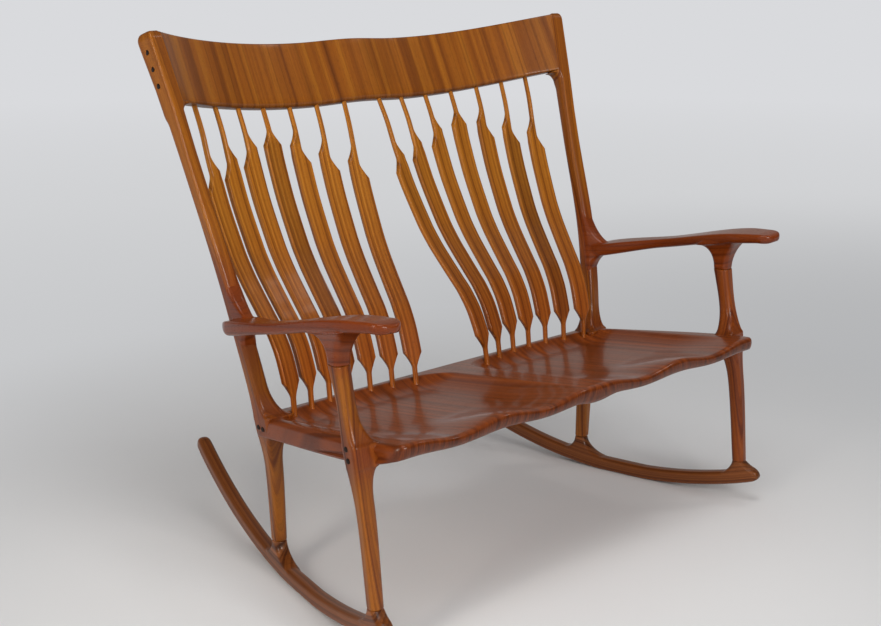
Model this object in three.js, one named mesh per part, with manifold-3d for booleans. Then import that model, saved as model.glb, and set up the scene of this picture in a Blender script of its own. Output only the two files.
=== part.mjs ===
import * as THREE from "three";
import { mergeVertices } from "three/addons/utils/BufferGeometryUtils.js";
import Module from "manifold-3d";

// A two-seat rocking bench carved from hardwood. Millimetres, Z up, the front faces -Y.
// Pieces of the right side are made first, and the left side is their mirror image.
// While the pieces are shaped, "out" is measured from the middle of the bench, "back" from the
// front legs' feet and "up" from the floor. The whole bench is centred over the floor at the end.

const wasm = await Module();
wasm.setup();

// Clearances
const fit = 0.3;
const overrun = 60;

// Rockers: the arc that touches the floor and the flat on which the empty bench stands still,
// the bar's section and its two ends
const rockerRadius = 1110;
const rockerContactBack = 304;
const rockerFlat = 124;
const rockerFacet = 58;
const rockerHalfWide = 15.5;
const rockerTall = 33;
const rockerCorner = 9;
const rockerToe = 57;
const rockerTail = 880;

// Front legs: centre line and half sizes at the foot, the seat and the arm
const frontFoot = { out: 578, back: 0, up: 103, half: 15 };
const frontCalf = { out: 580, back: 20, up_share: 0.61, half: 16.5 };
const frontSeat = { out: 583, back: 44, half: 18.5 };
const frontNeck = { half: 16.5, up_share: 0.53 };
const frontTop = { out: 588, back: 83, up: 563, half: 18.5 };
const frontShoulder = { outer: 1, inner: 32, front: 16, rear: 2, tall: 60, under_share: 0.6 };
const legCorner = 12;

// Back legs: the same, with the arm's height, the lean above it and the thicker head
const backFoot = { out: 486, back: 424, up: 79, half: 15 };
const backCalf = { out: 493, back: 424, half: 17, up_share: 0.63 };
const backSeat = { out: 508, back: 427, half: 18.5 };
const backArm = { out: 538, back: 467, half: 18, up: 563 };
const backWaist = { out: 566, back: 560, half: 16.5, up_share: 0.485 };
const backTop = { out: 600, back: 662, half: 17.5, up: 1140 };
const backShoulder = { outer: 1, inner: 30, front: 24, rear: 2, tall: 70, under_share: 0.75 };
const headStep = { below: 48, tall: 12, deep: 5 };
const headRound = 14;
const headWeb = { tall: 46, reach: 26, front: 8, rear: 20 };

// Seat: plan outline from the legs' lines, the slope of its rim, its thickness and its carving
const seatFrontReach = 45;
const seatRearReach = 19;
const seatHornInset = 32;
const seatWaistInset = 18;
const seatRearOutset = 18;
const seatFrontUp = 427;
const seatRearUp = 359;
const seatThick = 44;
const seatEdge = 8;
const seatNose = 11;
const seatHornRound = 22;
const hollowOut = 275;
const hollowHalf = 242;
const hollowRim = 105;
const hollowDeep = 24;
const hollowRearInset = 42;
const hollowBow = 24;
const hollowRearRim = 100;
const channelBack = 150;
const channelDeep = 14;
const reliefReach = 110;
const reliefRise = 17;
const middleLip = { deep: 10, half: 75 };
const frontNotch = { inset: 42, half: 23 };
const rearNotch = { inset: 19, front: 23 };
const seamBetween_share = 0.5;

// Back braces: seven to each seat, spread on the seat and wider apart under the crest
const bracesASide = 7;
const braceSeatFirst = 113;
const braceSeatLegGap = 53;
const braceSeatInset = 46;
const braceSeatBow = 27;
const braceCrestFirst = 53;
const braceCrestBow = 12;
const braceCrestLegGap = 75;
const braceTenon = 20;
const braceTail = 5.8;
const braceNeck = 5.6;
const braceHalfWide = 22;
const braceHalfThick = 6.5;
const braceSway = 27;

// Crest rail: its two hollows, the ridge between them and its section
const crestHollowOut = 150;
const crestHollowDeep = 91;
const crestEndBehind = 16;
const crestDrop = 47;
const crestTall = 138;
const crestLowRise = 48;
const crestHighRise = 43;
const crestRidgeBack = 10;
const crestRidgeUp = 5;
const crestHalfThick = 12.5;
const crestEndHalfThick = 16.5;
const crestCorner = 8;
const crestLean_share = 0.42;
const crestEndLean_share = 0.34;

// Arms: a wide pad over the front leg, a narrow waist and a deep heel on the back leg.
// The pad is placed from the front leg's top, and the heel from the back leg beside it.
const armTip = 32;
const armFront = { outset: -5, half: 35, ahead: 115, over: 105, thick: 22 };
const armPad = { outset: 0, half: 42, ahead: 49, over: 98, thick: 24 };
const armWaist = { bow: 23, half: 25, back_share: 0.59, up_share: 0.65, thick: 23 };
const armHeel = { outset: 28, half: 40, ahead: 47, over: 17, thick: 31 };
const armEnd = { outset: 17, half: 30, ahead: 3, over: 5, thick: 18 };
const armTilt_share = 0.05;
const armCorner = 11;
const armFlare = { side: 20, length: 42 };
const heelWeb = { up: 78, down: 52, reach: 62, half: 15, buried: 3 };
const heelJoint = { over: 14, under: 8 };

// Fastenings
const dowelRadius = 6;
const dowelHalf = 24;
const plugRadius = 5.5;
const plugDeep = 8;
const screwHead = { radius: 4.2, tall: 3.4 };
const screwShank = { radius: 2.3, length: 56, tip: 6 };
const crestPlugs = { drop: 42, pitch: 33 };
const rearPlugs = { ahead: 8, pitch: 17 };
const frontPlugs = { over: 7, pitch: 22 };

// Materials, with the colours of oiled tropical hardwood and of dark plugs
const woods = {
  gold: new THREE.MeshStandardMaterial({ name: "gold", color: 0xa0622a, roughness: 0.34, metalness: 0 }),
  red: new THREE.MeshStandardMaterial({ name: "red", color: 0x8a4826, roughness: 0.32, metalness: 0 }),
  dark: new THREE.MeshStandardMaterial({ name: "dark", color: 0x2b1d18, roughness: 0.4, metalness: 0 }),
  pale: new THREE.MeshStandardMaterial({ name: "pale", color: 0xc79a68, roughness: 0.6, metalness: 0 }),
  steel: new THREE.MeshStandardMaterial({ name: "steel", color: 0x9a9a98, roughness: 0.35, metalness: 1 }),
};

// Curves

// The value at a place on a smooth curve through rising places, with no overshoot between them
function through(places, values, place) {
  const last = places.length - 1;
  const spans = places.slice(1).map((next, i) => next - places[i]);
  const grades = spans.map((span, i) => (values[i + 1] - values[i]) / span);
  const slopes = places.map((_, i) => {
    const before = grades[Math.max(i - 1, 0)];
    const after = grades[Math.min(i, last - 1)];
    return before * after <= 0 ? 0 : (2 * before * after) / (before + after);
  });
  const found = spans.findIndex((_, i) => place <= places[i + 1]);
  const i = found < 0 ? last - 1 : found;
  const t = Math.min(Math.max((place - places[i]) / spans[i], 0), 1);
  const ease = t * t * (3 - 2 * t);
  const leave = t * (1 - t) * (1 - t) * slopes[i];
  const arrive = t * t * (1 - t) * slopes[i + 1];
  return values[i] + (values[i + 1] - values[i]) * ease + (leave - arrive) * spans[i];
}

// The flank of a quarter-round fillet: 1 at its foot and 0 where it runs out
function fillet(share) {
  const t = Math.min(Math.max(1 - share, 0), 1);
  return 1 - Math.sqrt(1 - t * t);
}

function clamp01(value) {
  return Math.min(Math.max(value, 0), 1);
}

function mix(from, to, share) {
  return from + (to - from) * share;
}

// Skins

const roundest_share = 0.97;

// A rounded rectangle of points about a centre, set out along two axes
function ring(centre, across, up, box, arcSteps) {
  const widest = (box.left + box.right) / 2;
  const tallest = (box.down + box.top) / 2;
  const corner = Math.min(box.corner, widest * roundest_share, tallest * roundest_share);
  const hubs = [
    [box.right - corner, box.top - corner],
    [corner - box.left, box.top - corner],
    [corner - box.left, corner - box.down],
    [box.right - corner, corner - box.down],
  ];
  return hubs.flatMap(([a, b], quarter) =>
    Array.from({ length: arcSteps + 1 }, (_, i) => {
      const angle = ((quarter + i / arcSteps) * Math.PI) / 2;
      return centre
        .clone()
        .addScaledVector(across, a + corner * Math.cos(angle))
        .addScaledVector(up, b + corner * Math.sin(angle));
    }),
  );
}

// A closed skin over rings of equal counts, with each end closed by the triangles of its cap
function skin(rings, capOf = fanCap) {
  const count = rings[0].length;
  const points = rings.flat();
  const faces = [];
  for (let i = 0; i < rings.length - 1; i += 1) {
    for (let j = 0; j < count; j += 1) {
      const a = i * count + j;
      const b = i * count + ((j + 1) % count);
      faces.push(a, b, b + count, a, b + count, a + count);
    }
  }
  const end = (rings.length - 1) * count;
  capOf(rings[0], points).forEach(([a, b, c]) => faces.push(a, c, b));
  capOf(rings.at(-1), points).forEach(([a, b, c]) => {
    faces.push(...[a, b, c].map((k) => (k < count ? k + end : k)));
  });
  const geometry = new THREE.BufferGeometry();
  geometry.setAttribute(
    "position",
    new THREE.Float32BufferAttribute(points.flatMap((p) => [p.x, p.y, p.z]), 3),
  );
  geometry.setIndex(faces);
  return facingOut(geometry);
}

// A cap as a fan about the ring's middle
function fanCap(cap, points) {
  const middle = cap.reduce((sum, p) => sum.add(p), new THREE.Vector3()).divideScalar(cap.length);
  points.push(middle);
  return cap.map((_, i) => [i, (i + 1) % cap.length, points.length - 1]);
}

// A cap as the rungs of a ladder between a ring's first half and its second half, for long outlines
function ladderCap(cap) {
  const end = cap.length - 1;
  const rungs = Math.floor(end / 2);
  const faces = Array.from({ length: rungs - 1 }, (_, i) => [
    [i, i + 1, end - 1 - i],
    [i, end - 1 - i, end - i],
  ]).flat();
  return [...faces, [rungs - 1, rungs, rungs + 1]];
}

// The same geometry, turned inside out if its faces point inwards
function facingOut(geometry) {
  const at = geometry.getAttribute("position");
  const index = geometry.getIndex().array;
  const [a, b, c] = [new THREE.Vector3(), new THREE.Vector3(), new THREE.Vector3()];
  let volume = 0;
  for (let i = 0; i < index.length; i += 3) {
    a.fromBufferAttribute(at, index[i]);
    b.fromBufferAttribute(at, index[i + 1]);
    c.fromBufferAttribute(at, index[i + 2]);
    volume += a.dot(b.cross(c));
  }
  if (volume < 0) {
    for (let i = 0; i < index.length; i += 3) {
      [index[i + 1], index[i + 2]] = [index[i + 2], index[i + 1]];
    }
  }
  return geometry;
}

// Solids

function solid(geometry) {
  const bare = geometry.clone();
  bare.deleteAttribute("normal");
  bare.deleteAttribute("uv");
  const merged = mergeVertices(bare);
  return new wasm.Manifold(
    new wasm.Mesh({
      numProp: 3,
      vertProperties: merged.attributes.position.array,
      triVerts: new Uint32Array(merged.index.array),
    }),
  );
}

function geometryOf(body) {
  const mesh = body.getMesh();
  const geometry = new THREE.BufferGeometry();
  geometry.setAttribute("position", new THREE.BufferAttribute(mesh.vertProperties, 3));
  geometry.setIndex(new THREE.BufferAttribute(mesh.triVerts, 1));
  return geometry;
}

function mirrored(geometry) {
  return facingOut(geometry.clone().scale(-1, 1, 1));
}

function box(from, to) {
  const size = to.clone().sub(from);
  const middle = from.clone().add(to).divideScalar(2);
  const geometry = new THREE.BoxGeometry(size.x, size.y, size.z);
  return solid(geometry.translate(middle.x, middle.y, middle.z));
}

// A turned piece along an axis, from a profile of radii and distances that starts and ends on it
function turned(profile, segments, start, direction) {
  const geometry = new THREE.LatheGeometry(
    profile.map(([radius, distance]) => new THREE.Vector2(radius, distance)),
    segments,
  );
  const turn = new THREE.Quaternion().setFromUnitVectors(new THREE.Vector3(0, 1, 0), direction);
  return solid(geometry.applyQuaternion(turn).translate(start.x, start.y, start.z));
}

function pin(radius, start, end, segments) {
  const length = start.distanceTo(end);
  const profile = [
    [0, 0],
    [radius, 0],
    [radius, length],
    [0, length],
  ];
  return turned(profile, segments, start, end.clone().sub(start).normalize());
}

// The bench's sides toe in towards the back: the directions out of and along a rocker
const toeIn = Math.atan2(frontFoot.out - backFoot.out, backFoot.back - frontFoot.back);

function outward(turn_share) {
  return new THREE.Vector3(Math.cos(toeIn * turn_share), Math.sin(toeIn * turn_share), 0);
}

function rearward(turn_share) {
  return new THREE.Vector3(-Math.sin(toeIn * turn_share), Math.cos(toeIn * turn_share), 0);
}

// Seat

const seatRearBack = backSeat.back + seatRearReach;
const seatSlope = (seatFrontUp - seatRearUp) / (seatFrontReach + seatRearBack);

function seatRim(back) {
  return seatFrontUp - seatSlope * (back + seatFrontReach);
}

function seatSideOut(back) {
  return through(
    [-seatFrontReach, frontSeat.back, backSeat.back],
    [frontSeat.out - seatHornInset, frontSeat.out - seatWaistInset, backSeat.out + seatRearOutset],
    back,
  );
}

// How far across a seat's hollow a place is: 0 in its middle and 1 at its rim
function hollowAcross(out) {
  return Math.abs(Math.abs(out) - hollowOut) / hollowHalf;
}

// The two thigh channels of a seat, on each side of its pommel: 1 along their floors
function channel(out) {
  return Math.sin(Math.PI * clamp01(hollowAcross(out))) ** 2;
}

// The depth of the carving below the rim at a place
function carving(out, back) {
  const bowed = seatRearBack - hollowRearInset + hollowBow * (1 - hollowAcross(out) ** 2);
  const sides = clamp01(((1 - hollowAcross(out)) * hollowHalf) / hollowRim);
  const rear = clamp01((bowed - back) / hollowRearRim);
  const bowl = (1 - (1 - sides) ** 2) * (1 - (1 - rear) ** 2);
  const run = clamp01((channelBack - back) / (channelBack + seatFrontReach));
  const toFront = run * run * (3 - 2 * run);
  return mix(hollowDeep * bowl, channelDeep * channel(out), toFront);
}

function seatTop(out, back) {
  return seatRim(back) - carving(out, back);
}

function seatUnder(out, back) {
  const run = clamp01((reliefReach - seatFrontReach - back) / reliefReach);
  const lip = middleLip.deep * Math.cos((Math.PI / 2) * clamp01(Math.abs(out) / middleLip.half)) ** 2;
  const relief = (reliefRise - (channelDeep / 2) * channel(out) - lip) * run * run;
  return seatRim(back) - seatThick + relief;
}

const seatRun_shares = [0, 0.1, 0.23, 0.4, 0.58, 0.74, 0.84, 0.9, 0.95, 1];
const seatSide_shares = [0, 0.5, 0.78, 0.93, 1];

// A slice's outline at one share of the way from an inner seam to the seam or side beyond it
function seatSlice(innerOut, outerOutOf, share, grow) {
  const edge = outerOutOf(frontSeat.back) - mix(innerOut, outerOutOf(frontSeat.back), share);
  const atSide = outerOutOf === seatSideOut;
  const squeeze = atSide ? seatEdge * fillet(edge / seatEdge) : 0;
  const round = atSide ? seatHornRound * fillet(edge / seatHornRound) : 0;
  const front = round - seatFrontReach - grow;
  const rear = seatRearBack + grow - squeeze / 2;
  const place = (back, drop, under) => {
    const out = mix(innerOut, outerOutOf(back) + (atSide ? grow : 0), share);
    const up = under
      ? seatUnder(out, back) + squeeze - grow + drop
      : seatTop(out, back) - squeeze + grow - drop;
    return new THREE.Vector3(out, back, up);
  };
  const noseTop = place(front + seatNose, 0, false);
  const noseUnder = place(front + seatNose, 0, true);
  const noseTall = noseTop.z - noseUnder.z;
  const noseAt = (in_share, up_share) => {
    const back = front + seatNose * in_share;
    const out = mix(innerOut, outerOutOf(back) + (atSide ? grow : 0), share);
    return new THREE.Vector3(out, back, noseUnder.z + noseTall * up_share);
  };
  const along = (run_share, under) => place(mix(front + seatNose, rear - seatEdge / 2, run_share), 0, under);
  return [
    place(rear, seatEdge / 2, false),
    ...seatRun_shares.toReversed().map((run_share) => along(run_share, false)),
    noseAt(0.3, 0.86),
    noseAt(0, 0.55),
    noseAt(0.22, 0.18),
    ...seatRun_shares.map((run_share) => along(run_share, true)),
    place(rear, seatEdge / 2, true),
  ];
}

function seatSkin(innerOut, outerOutOf, shares, grow) {
  return skin(
    shares.map((share) => seatSlice(innerOut, outerOutOf, share, grow)),
    ladderCap,
  );
}

// Legs

const frontMidUp = seatRim(frontSeat.back) - seatThick / 2;
const backMidUp = seatRim(backSeat.back) - seatThick / 2;
const frontCalfUp = mix(frontFoot.up, frontMidUp, frontCalf.up_share);
const frontNeckUp = mix(seatRim(frontSeat.back), frontTop.up, frontNeck.up_share);
const backCalfUp = mix(backFoot.up, backMidUp, backCalf.up_share);
const backWaistUp = mix(backArm.up, backTop.up, backWaist.up_share);
const crestLowUp = backTop.up - crestDrop - crestTall;
const headStepUp = crestLowUp + crestLowRise - headStep.below;

function frontLegLine(up) {
  const ups = [frontFoot.up, frontCalfUp, frontMidUp, frontTop.up];
  return new THREE.Vector3(
    through(ups, [frontFoot.out, frontCalf.out, frontSeat.out, frontTop.out], up),
    through(ups, [frontFoot.back, frontCalf.back, frontSeat.back, frontTop.back], up),
    up,
  );
}

function frontLegHalf(up) {
  const ups = [frontFoot.up, frontCalfUp, seatRim(frontSeat.back), frontNeckUp, frontTop.up];
  return through(ups, [frontFoot.half, frontCalf.half, frontSeat.half, frontNeck.half, frontTop.half], up);
}

function backLegLine(up) {
  const ups = [backFoot.up, backCalfUp, backMidUp, backArm.up, backWaistUp, backTop.up];
  return new THREE.Vector3(
    through(ups, [backFoot.out, backCalf.out, backSeat.out, backArm.out, backWaist.out, backTop.out], up),
    through(
      ups,
      [backFoot.back, backCalf.back, backSeat.back, backArm.back, backWaist.back, backTop.back],
      up,
    ),
    up,
  );
}

function backLegHalf(up) {
  const ups = [backFoot.up, backCalfUp, seatRim(backSeat.back), backArm.up, backWaistUp, backTop.up];
  return through(
    ups,
    [backFoot.half, backCalf.half, backSeat.half, backArm.half, backWaist.half, backTop.half],
    up,
  );
}

const shin_shares = [0.33, 0.66];
const flare_shares = [1, 0.62, 0.36, 0.16, 0.04];

// The heights of a leg's rings: its foot, its shoulders under and over the seat, and above
function legUps(foot, seatBack, shoulder, above) {
  const over = seatRim(seatBack);
  const under = over - seatThick;
  const shin = under - shoulder.tall;
  return [
    foot,
    ...shin_shares.map((share) => mix(foot, shin, share)),
    ...flare_shares.map((share) => under - shoulder.tall * share),
    under + seatThick / 4,
    over - seatThick / 4,
    ...flare_shares.toReversed().map((share) => over + shoulder.tall * share),
    ...above,
  ];
}

// The legs' sections turn from the rockers' direction at the floor to straight ahead at the waist
function toeInShare(up) {
  return clamp01((backWaistUp - up) / backWaistUp);
}

// A leg: rounded sections along its line, which swell into shoulders at the seat. They lie level,
// and turn to the seat's slope where they meet it.
function legSkin({ ups, line, half, shoulder, seatBack, deeperAt, grow }) {
  const over = seatRim(seatBack);
  const under = over - seatThick;
  const rings = ups.map((up) => {
    const gap = Math.max(up - over, under - up, 0);
    const fullness = mix(1, shoulder.under_share, clamp01((over - up) / seatThick));
    const swell = fillet(gap / shoulder.tall) * fullness;
    const tilt = new THREE.Vector3(0, 0, -seatSlope * clamp01(1 - gap / shoulder.tall));
    const size = half(up) + grow;
    const deeper = deeperAt(up);
    const turn_share = toeInShare(up);
    return ring(
      line(up),
      outward(turn_share),
      rearward(turn_share).add(tilt),
      {
        left: size + shoulder.inner * swell,
        right: size + shoulder.outer * swell,
        down: size + shoulder.front * swell,
        top: size + shoulder.rear * swell + deeper,
        corner: legCorner,
      },
      2,
    );
  });
  return skin(rings);
}

function frontLegSkin(grow) {
  const over = seatRim(frontSeat.back) + frontShoulder.tall;
  const ups = legUps(frontFoot.up, frontSeat.back, frontShoulder, [mix(over, frontTop.up, 0.5), frontTop.up]);
  return legSkin({
    ups,
    line: frontLegLine,
    half: frontLegHalf,
    shoulder: frontShoulder,
    seatBack: frontSeat.back,
    deeperAt: () => 0,
    grow,
  });
}

// The back leg is deeper behind the crest, from a small step just below it
function headDepth(up) {
  return headStep.deep * clamp01((up - headStepUp) / headStep.tall);
}

const headRound_shares = [1, 0.35, 0];

function backLegSkin(grow) {
  const over = seatRim(backSeat.back) + backShoulder.tall;
  const above = [
    mix(over, backArm.up, 0.5),
    backArm.up,
    ...shin_shares.map((share) => mix(backArm.up, backWaistUp, share)),
    backWaistUp,
    headStepUp,
    headStepUp + headStep.tall,
    mix(headStepUp, backTop.up, 0.5),
    ...headRound_shares.map((share) => backTop.up - headRound * share),
  ];
  const shrink = (up) => headRound * fillet((backTop.up - up) / headRound);
  return legSkin({
    ups: legUps(backFoot.up, backSeat.back, backShoulder, above),
    line: backLegLine,
    half: (up) => backLegHalf(up) - shrink(up) / 2,
    shoulder: backShoulder,
    seatBack: backSeat.back,
    deeperAt: headDepth,
    grow,
  });
}

// A trumpet-shaped block between a leg's level end and the bar that it meets, which may slope.
// It starts with the leg's section and reaches out along the bar as it runs into it. Its front is
// hollow, or runs down in a straight line.
const trumpet_shares = [0, 0.16, 0.4, 0.66, 0.88, 1];
const tuck_share = 0.7;

function trumpetSkin({ joint, half, turn_share, rise, slope, reach, tuck, straight_share = 0 }) {
  const across = outward(turn_share);
  const along = rearward(turn_share);
  const trumpetRing = (share, up, swell, straight) => {
    const centre = joint.clone().add(new THREE.Vector3(0, 0, up));
    const tilted = along.clone().add(new THREE.Vector3(0, 0, slope * share));
    return ring(
      centre,
      across,
      tilted,
      {
        left: half + reach.side * swell,
        right: half + reach.side * swell,
        down: half + reach.front * mix(swell, straight, straight_share),
        top: half + reach.rear * swell,
        corner: legCorner,
      },
      2,
    );
  };
  return skin([
    ...trumpet_shares.map((share) => trumpetRing(share, rise * share, fillet(1 - share), share)),
    trumpetRing(1, rise + Math.sign(rise) * tuck, tuck_share, 1 + tuck / Math.abs(rise)),
  ]);
}

// Rockers

const alongRocker = rearward(1);
const acrossRocker = outward(1);
const rockerContact = rockerContactBack / alongRocker.y;

// The angle of the rocker's arc, and a point on it, at a distance along from the front foot
function rockerAngle(along) {
  return Math.asin((along - rockerContact) / rockerRadius);
}

function rockerPoint(angle, above) {
  const along = rockerContact + (rockerRadius - above) * Math.sin(angle);
  const at = new THREE.Vector3(frontFoot.out, frontFoot.back, 0).addScaledVector(alongRocker, along);
  at.z = rockerRadius - (rockerRadius - above) * Math.cos(angle);
  return at;
}

function rockerRing(angle, down_share, top_share, wide_share) {
  const up = new THREE.Vector3(0, 0, Math.cos(angle)).addScaledVector(alongRocker, -Math.sin(angle));
  return ring(
    rockerPoint(angle, 0),
    acrossRocker,
    up,
    {
      left: rockerHalfWide * wide_share,
      right: rockerHalfWide * wide_share,
      down: -rockerTall * down_share,
      top: rockerTall * top_share,
      corner: rockerCorner,
    },
    2,
  );
}

// The bar's facets are set out on both sides of the flat, which lies level on the floor
function rockerSkin() {
  const first = rockerAngle(-rockerToe);
  const last = rockerAngle(rockerTail);
  const endTurn = rockerTall / rockerRadius;
  const flatTurn = rockerFlat / 2 / rockerRadius;
  const bends = (end) => {
    const count = Math.round(((Math.abs(end) - flatTurn - endTurn) * rockerRadius) / rockerFacet);
    const ends = Array.from({ length: count + 1 }, (_, i) => i / count);
    return ends.map((share) => Math.sign(end) * mix(flatTurn, Math.abs(end) - endTurn, share));
  };
  return skin([
    rockerRing(first, 0.26, 0.45, 0.5),
    rockerRing(first + endTurn * 0.12, 0.12, 0.6, 0.82),
    rockerRing(first + endTurn * 0.45, 0.02, 0.86, 1),
    ...bends(first).toReversed().map((angle) => rockerRing(angle, 0, 1, 1)),
    ...bends(last).map((angle) => rockerRing(angle, 0, 1, 1)),
    rockerRing(last - endTurn * 0.4, 0.03, 0.97, 0.97),
    rockerRing(last - endTurn * 0.12, 0.14, 0.86, 0.8),
    rockerRing(last, 0.34, 0.66, 0.45),
  ]);
}

// The block on a rocker under one foot, down to the bar's top at that place
function riserSkin(foot, reach, straight_share) {
  const joint = new THREE.Vector3(foot.out, foot.back, foot.up);
  const along = (foot.back - frontFoot.back) / alongRocker.y;
  const angle = rockerAngle(along);
  const barTop = rockerPoint(angle, rockerTall).z;
  return trumpetSkin({
    joint,
    half: foot.half,
    turn_share: 1,
    rise: barTop - foot.up,
    slope: Math.tan(angle),
    reach,
    tuck: rockerTall / 3,
    straight_share,
  });
}

// Arms

function armKnot(knot, leg) {
  return { ...knot, out: leg.out + knot.outset, back: leg.back - knot.ahead, up: leg.up + knot.over };
}

const padKnot = armKnot(armPad, frontTop);
const heelKnot = armKnot(armHeel, backArm);
const waistKnot = {
  ...armWaist,
  out: mix(padKnot.out, heelKnot.out, armWaist.back_share) + armWaist.bow,
  back: mix(padKnot.back, heelKnot.back, armWaist.back_share),
  up: mix(padKnot.up, heelKnot.up, armWaist.up_share),
};
const frontKnot = armKnot(armFront, frontTop);
const endKnot = armKnot(armEnd, backArm);
const armKnots = [frontKnot, padKnot, waistKnot, heelKnot, endKnot];

function armValue(name, back) {
  return through(
    armKnots.map((knot) => knot.back),
    armKnots.map((knot) => knot[name]),
    back,
  );
}

function armRing(back, wide_share, thick_share) {
  const half = armValue("half", back) * wide_share;
  const thick = armValue("thick", back);
  const spare = (thick * (1 - thick_share)) / 2;
  return ring(
    new THREE.Vector3(armValue("out", back), back, armValue("up", back)),
    new THREE.Vector3(1, 0, armTilt_share),
    new THREE.Vector3(0, 0, 1),
    { left: half, right: half, down: thick - spare, top: -spare, corner: armCorner },
    2,
  );
}

function armSkin() {
  const tip = frontKnot.back - armTip;
  const run = armTip;
  const rounded = [
    armRing(tip, 0.3, 0.36),
    armRing(tip + run * 0.1, 0.54, 0.7),
    armRing(tip + run * 0.4, 0.83, 0.95),
  ];
  const body_shares = [0, 0.12, 0.24, 0.36, 0.48, 0.6, 0.72, 0.82, 0.91];
  const body = body_shares.map((share) => armRing(mix(frontKnot.back, heelKnot.back, share), 1, 1));
  const heel = [
    armRing(heelKnot.back, 1, 1),
    armRing(mix(heelKnot.back, endKnot.back, 0.5), 1, 1),
    armRing(endKnot.back, 0.95, 0.9),
    armRing(endKnot.back + armCorner, 0.6, 0.55),
  ];
  return skin([...rounded, ...body, ...heel]);
}

// The web in the corners between the arm and the back leg, which runs out along the leg's front.
// The leg keeps what lies over and under the arm's heel, and the arm has the rest.
function heelWebSkin() {
  const top = heelKnot.up;
  const under = top - armHeel.thick;
  const over_shares = [1, 0.72, 0.48, 0.28, 0.12];
  const ups = [
    ...over_shares.map((share) => under - heelWeb.down * share),
    under + armHeel.thick / 4,
    top - armHeel.thick / 4,
    ...over_shares.toReversed().map((share) => top + heelWeb.up * share),
  ];
  const rings = ups.map((up) => {
    const gap = up > top ? (up - top) / heelWeb.up : (under - up) / heelWeb.down;
    const reach = (heelWeb.reach + heelWeb.buried) * fillet(Math.max(gap, 0)) - heelWeb.buried;
    return ring(
      backLegLine(up),
      outward(0.4),
      rearward(0.4),
      { left: heelWeb.half, right: heelWeb.half, down: backLegHalf(up) + reach, top: 0, corner: legCorner },
      2,
    );
  });
  return skin(rings);
}

function heelSlab(inset) {
  return box(
    new THREE.Vector3(0, 0, heelKnot.up - armHeel.thick - heelJoint.under + inset),
    new THREE.Vector3(backTop.out, backTop.back, heelKnot.up + heelJoint.over - inset),
  );
}

function armPostSkin() {
  const under = (back) => armValue("up", back) - armValue("thick", back);
  const step = armFlare.length;
  const slope = (under(frontTop.back + step) - under(frontTop.back - step)) / (2 * step);
  return trumpetSkin({
    joint: new THREE.Vector3(frontTop.out, frontTop.back, frontTop.up + fit),
    half: frontTop.half,
    turn_share: toeInShare(frontTop.up),
    rise: under(frontTop.back) - frontTop.up - fit,
    slope,
    reach: { side: armFlare.side, front: armFlare.length, rear: armFlare.length },
    tuck: armPad.thick / 3,
  });
}

// Crest rail

const crestHighUp = crestLowUp + crestTall;
const crestEndUp = (crestLowUp + crestLowRise + crestHighUp + crestHighRise) / 2;
const crestEndOut = backLegLine(crestEndUp).x - backLegHalf(crestEndUp);
const crestHollowBack = backLegLine(crestLowUp + crestLowRise).y + crestEndBehind + crestHollowDeep;

function crestRun(out) {
  return clamp01((Math.abs(out) - crestHollowOut) / (crestEndOut - crestHollowOut));
}

function crestRidge(out) {
  return Math.cos((Math.PI / 2) * clamp01(Math.abs(out) / crestHollowOut)) ** 2;
}

function crestLow(out) {
  return {
    back: crestHollowBack - crestHollowDeep * crestRun(out) ** 2 - crestRidgeBack * crestRidge(out),
    up: crestLowUp + crestLowRise * crestRun(out) ** 2 + crestRidgeUp * crestRidge(out),
  };
}

function crestSlice(side_share) {
  const out = crestEndOut * side_share;
  const low = crestLow(out);
  const high = crestHighUp + crestHighRise * crestRun(out) ** 2 + crestRidgeUp * crestRidge(out);
  const lean = mix(crestLean_share, crestEndLean_share, crestRun(out));
  const half = mix(crestHalfThick, crestEndHalfThick, crestRun(out) ** 4);
  const points = ring(
    new THREE.Vector3(0, low.back, low.up),
    new THREE.Vector3(0, 1, 0),
    new THREE.Vector3(0, lean, 1),
    { left: half, right: half, down: 0, top: high - low.up, corner: crestCorner },
    2,
  );
  points.forEach((p) => {
    p.x = side_share * (backLegLine(p.z).x - backLegHalf(p.z) - fit);
  });
  return points;
}

// The small web on each back leg, in the corner under the crest's end
function headWebSkin() {
  const tilt = (2 * crestLowRise) / (crestEndOut - crestHollowOut);
  const top = crestLow(crestEndOut).up - fit + tilt * backLegHalf(crestLowUp + crestLowRise);
  const rings = flare_shares.concat(0).map((share) => {
    const up = top - headWeb.tall * share;
    const reach = headWeb.reach * fillet(share) - fit;
    return ring(
      backLegLine(up),
      new THREE.Vector3(1, 0, tilt),
      new THREE.Vector3(0, 1, 0),
      {
        left: backLegHalf(up) + reach,
        right: backLegHalf(up) / 2,
        down: headWeb.front,
        top: headWeb.rear,
        corner: crestCorner,
      },
      2,
    );
  });
  return skin(rings);
}

const crestHalf_shares = [0.06, 0.14, 0.22, 0.3, 0.4, 0.5, 0.6, 0.7, 0.8, 0.9, 1];

function crestSkin() {
  const sides = [...crestHalf_shares.toReversed().map((share) => -share), 0, ...crestHalf_shares];
  return skin(sides.map(crestSlice));
}

// Braces

const braceSeatPitch = (backSeat.out - braceSeatLegGap - braceSeatFirst) / (bracesASide - 1);
const braceCrestPitch = (crestEndOut - braceCrestLegGap - braceCrestFirst) / (bracesASide - 1);

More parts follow.
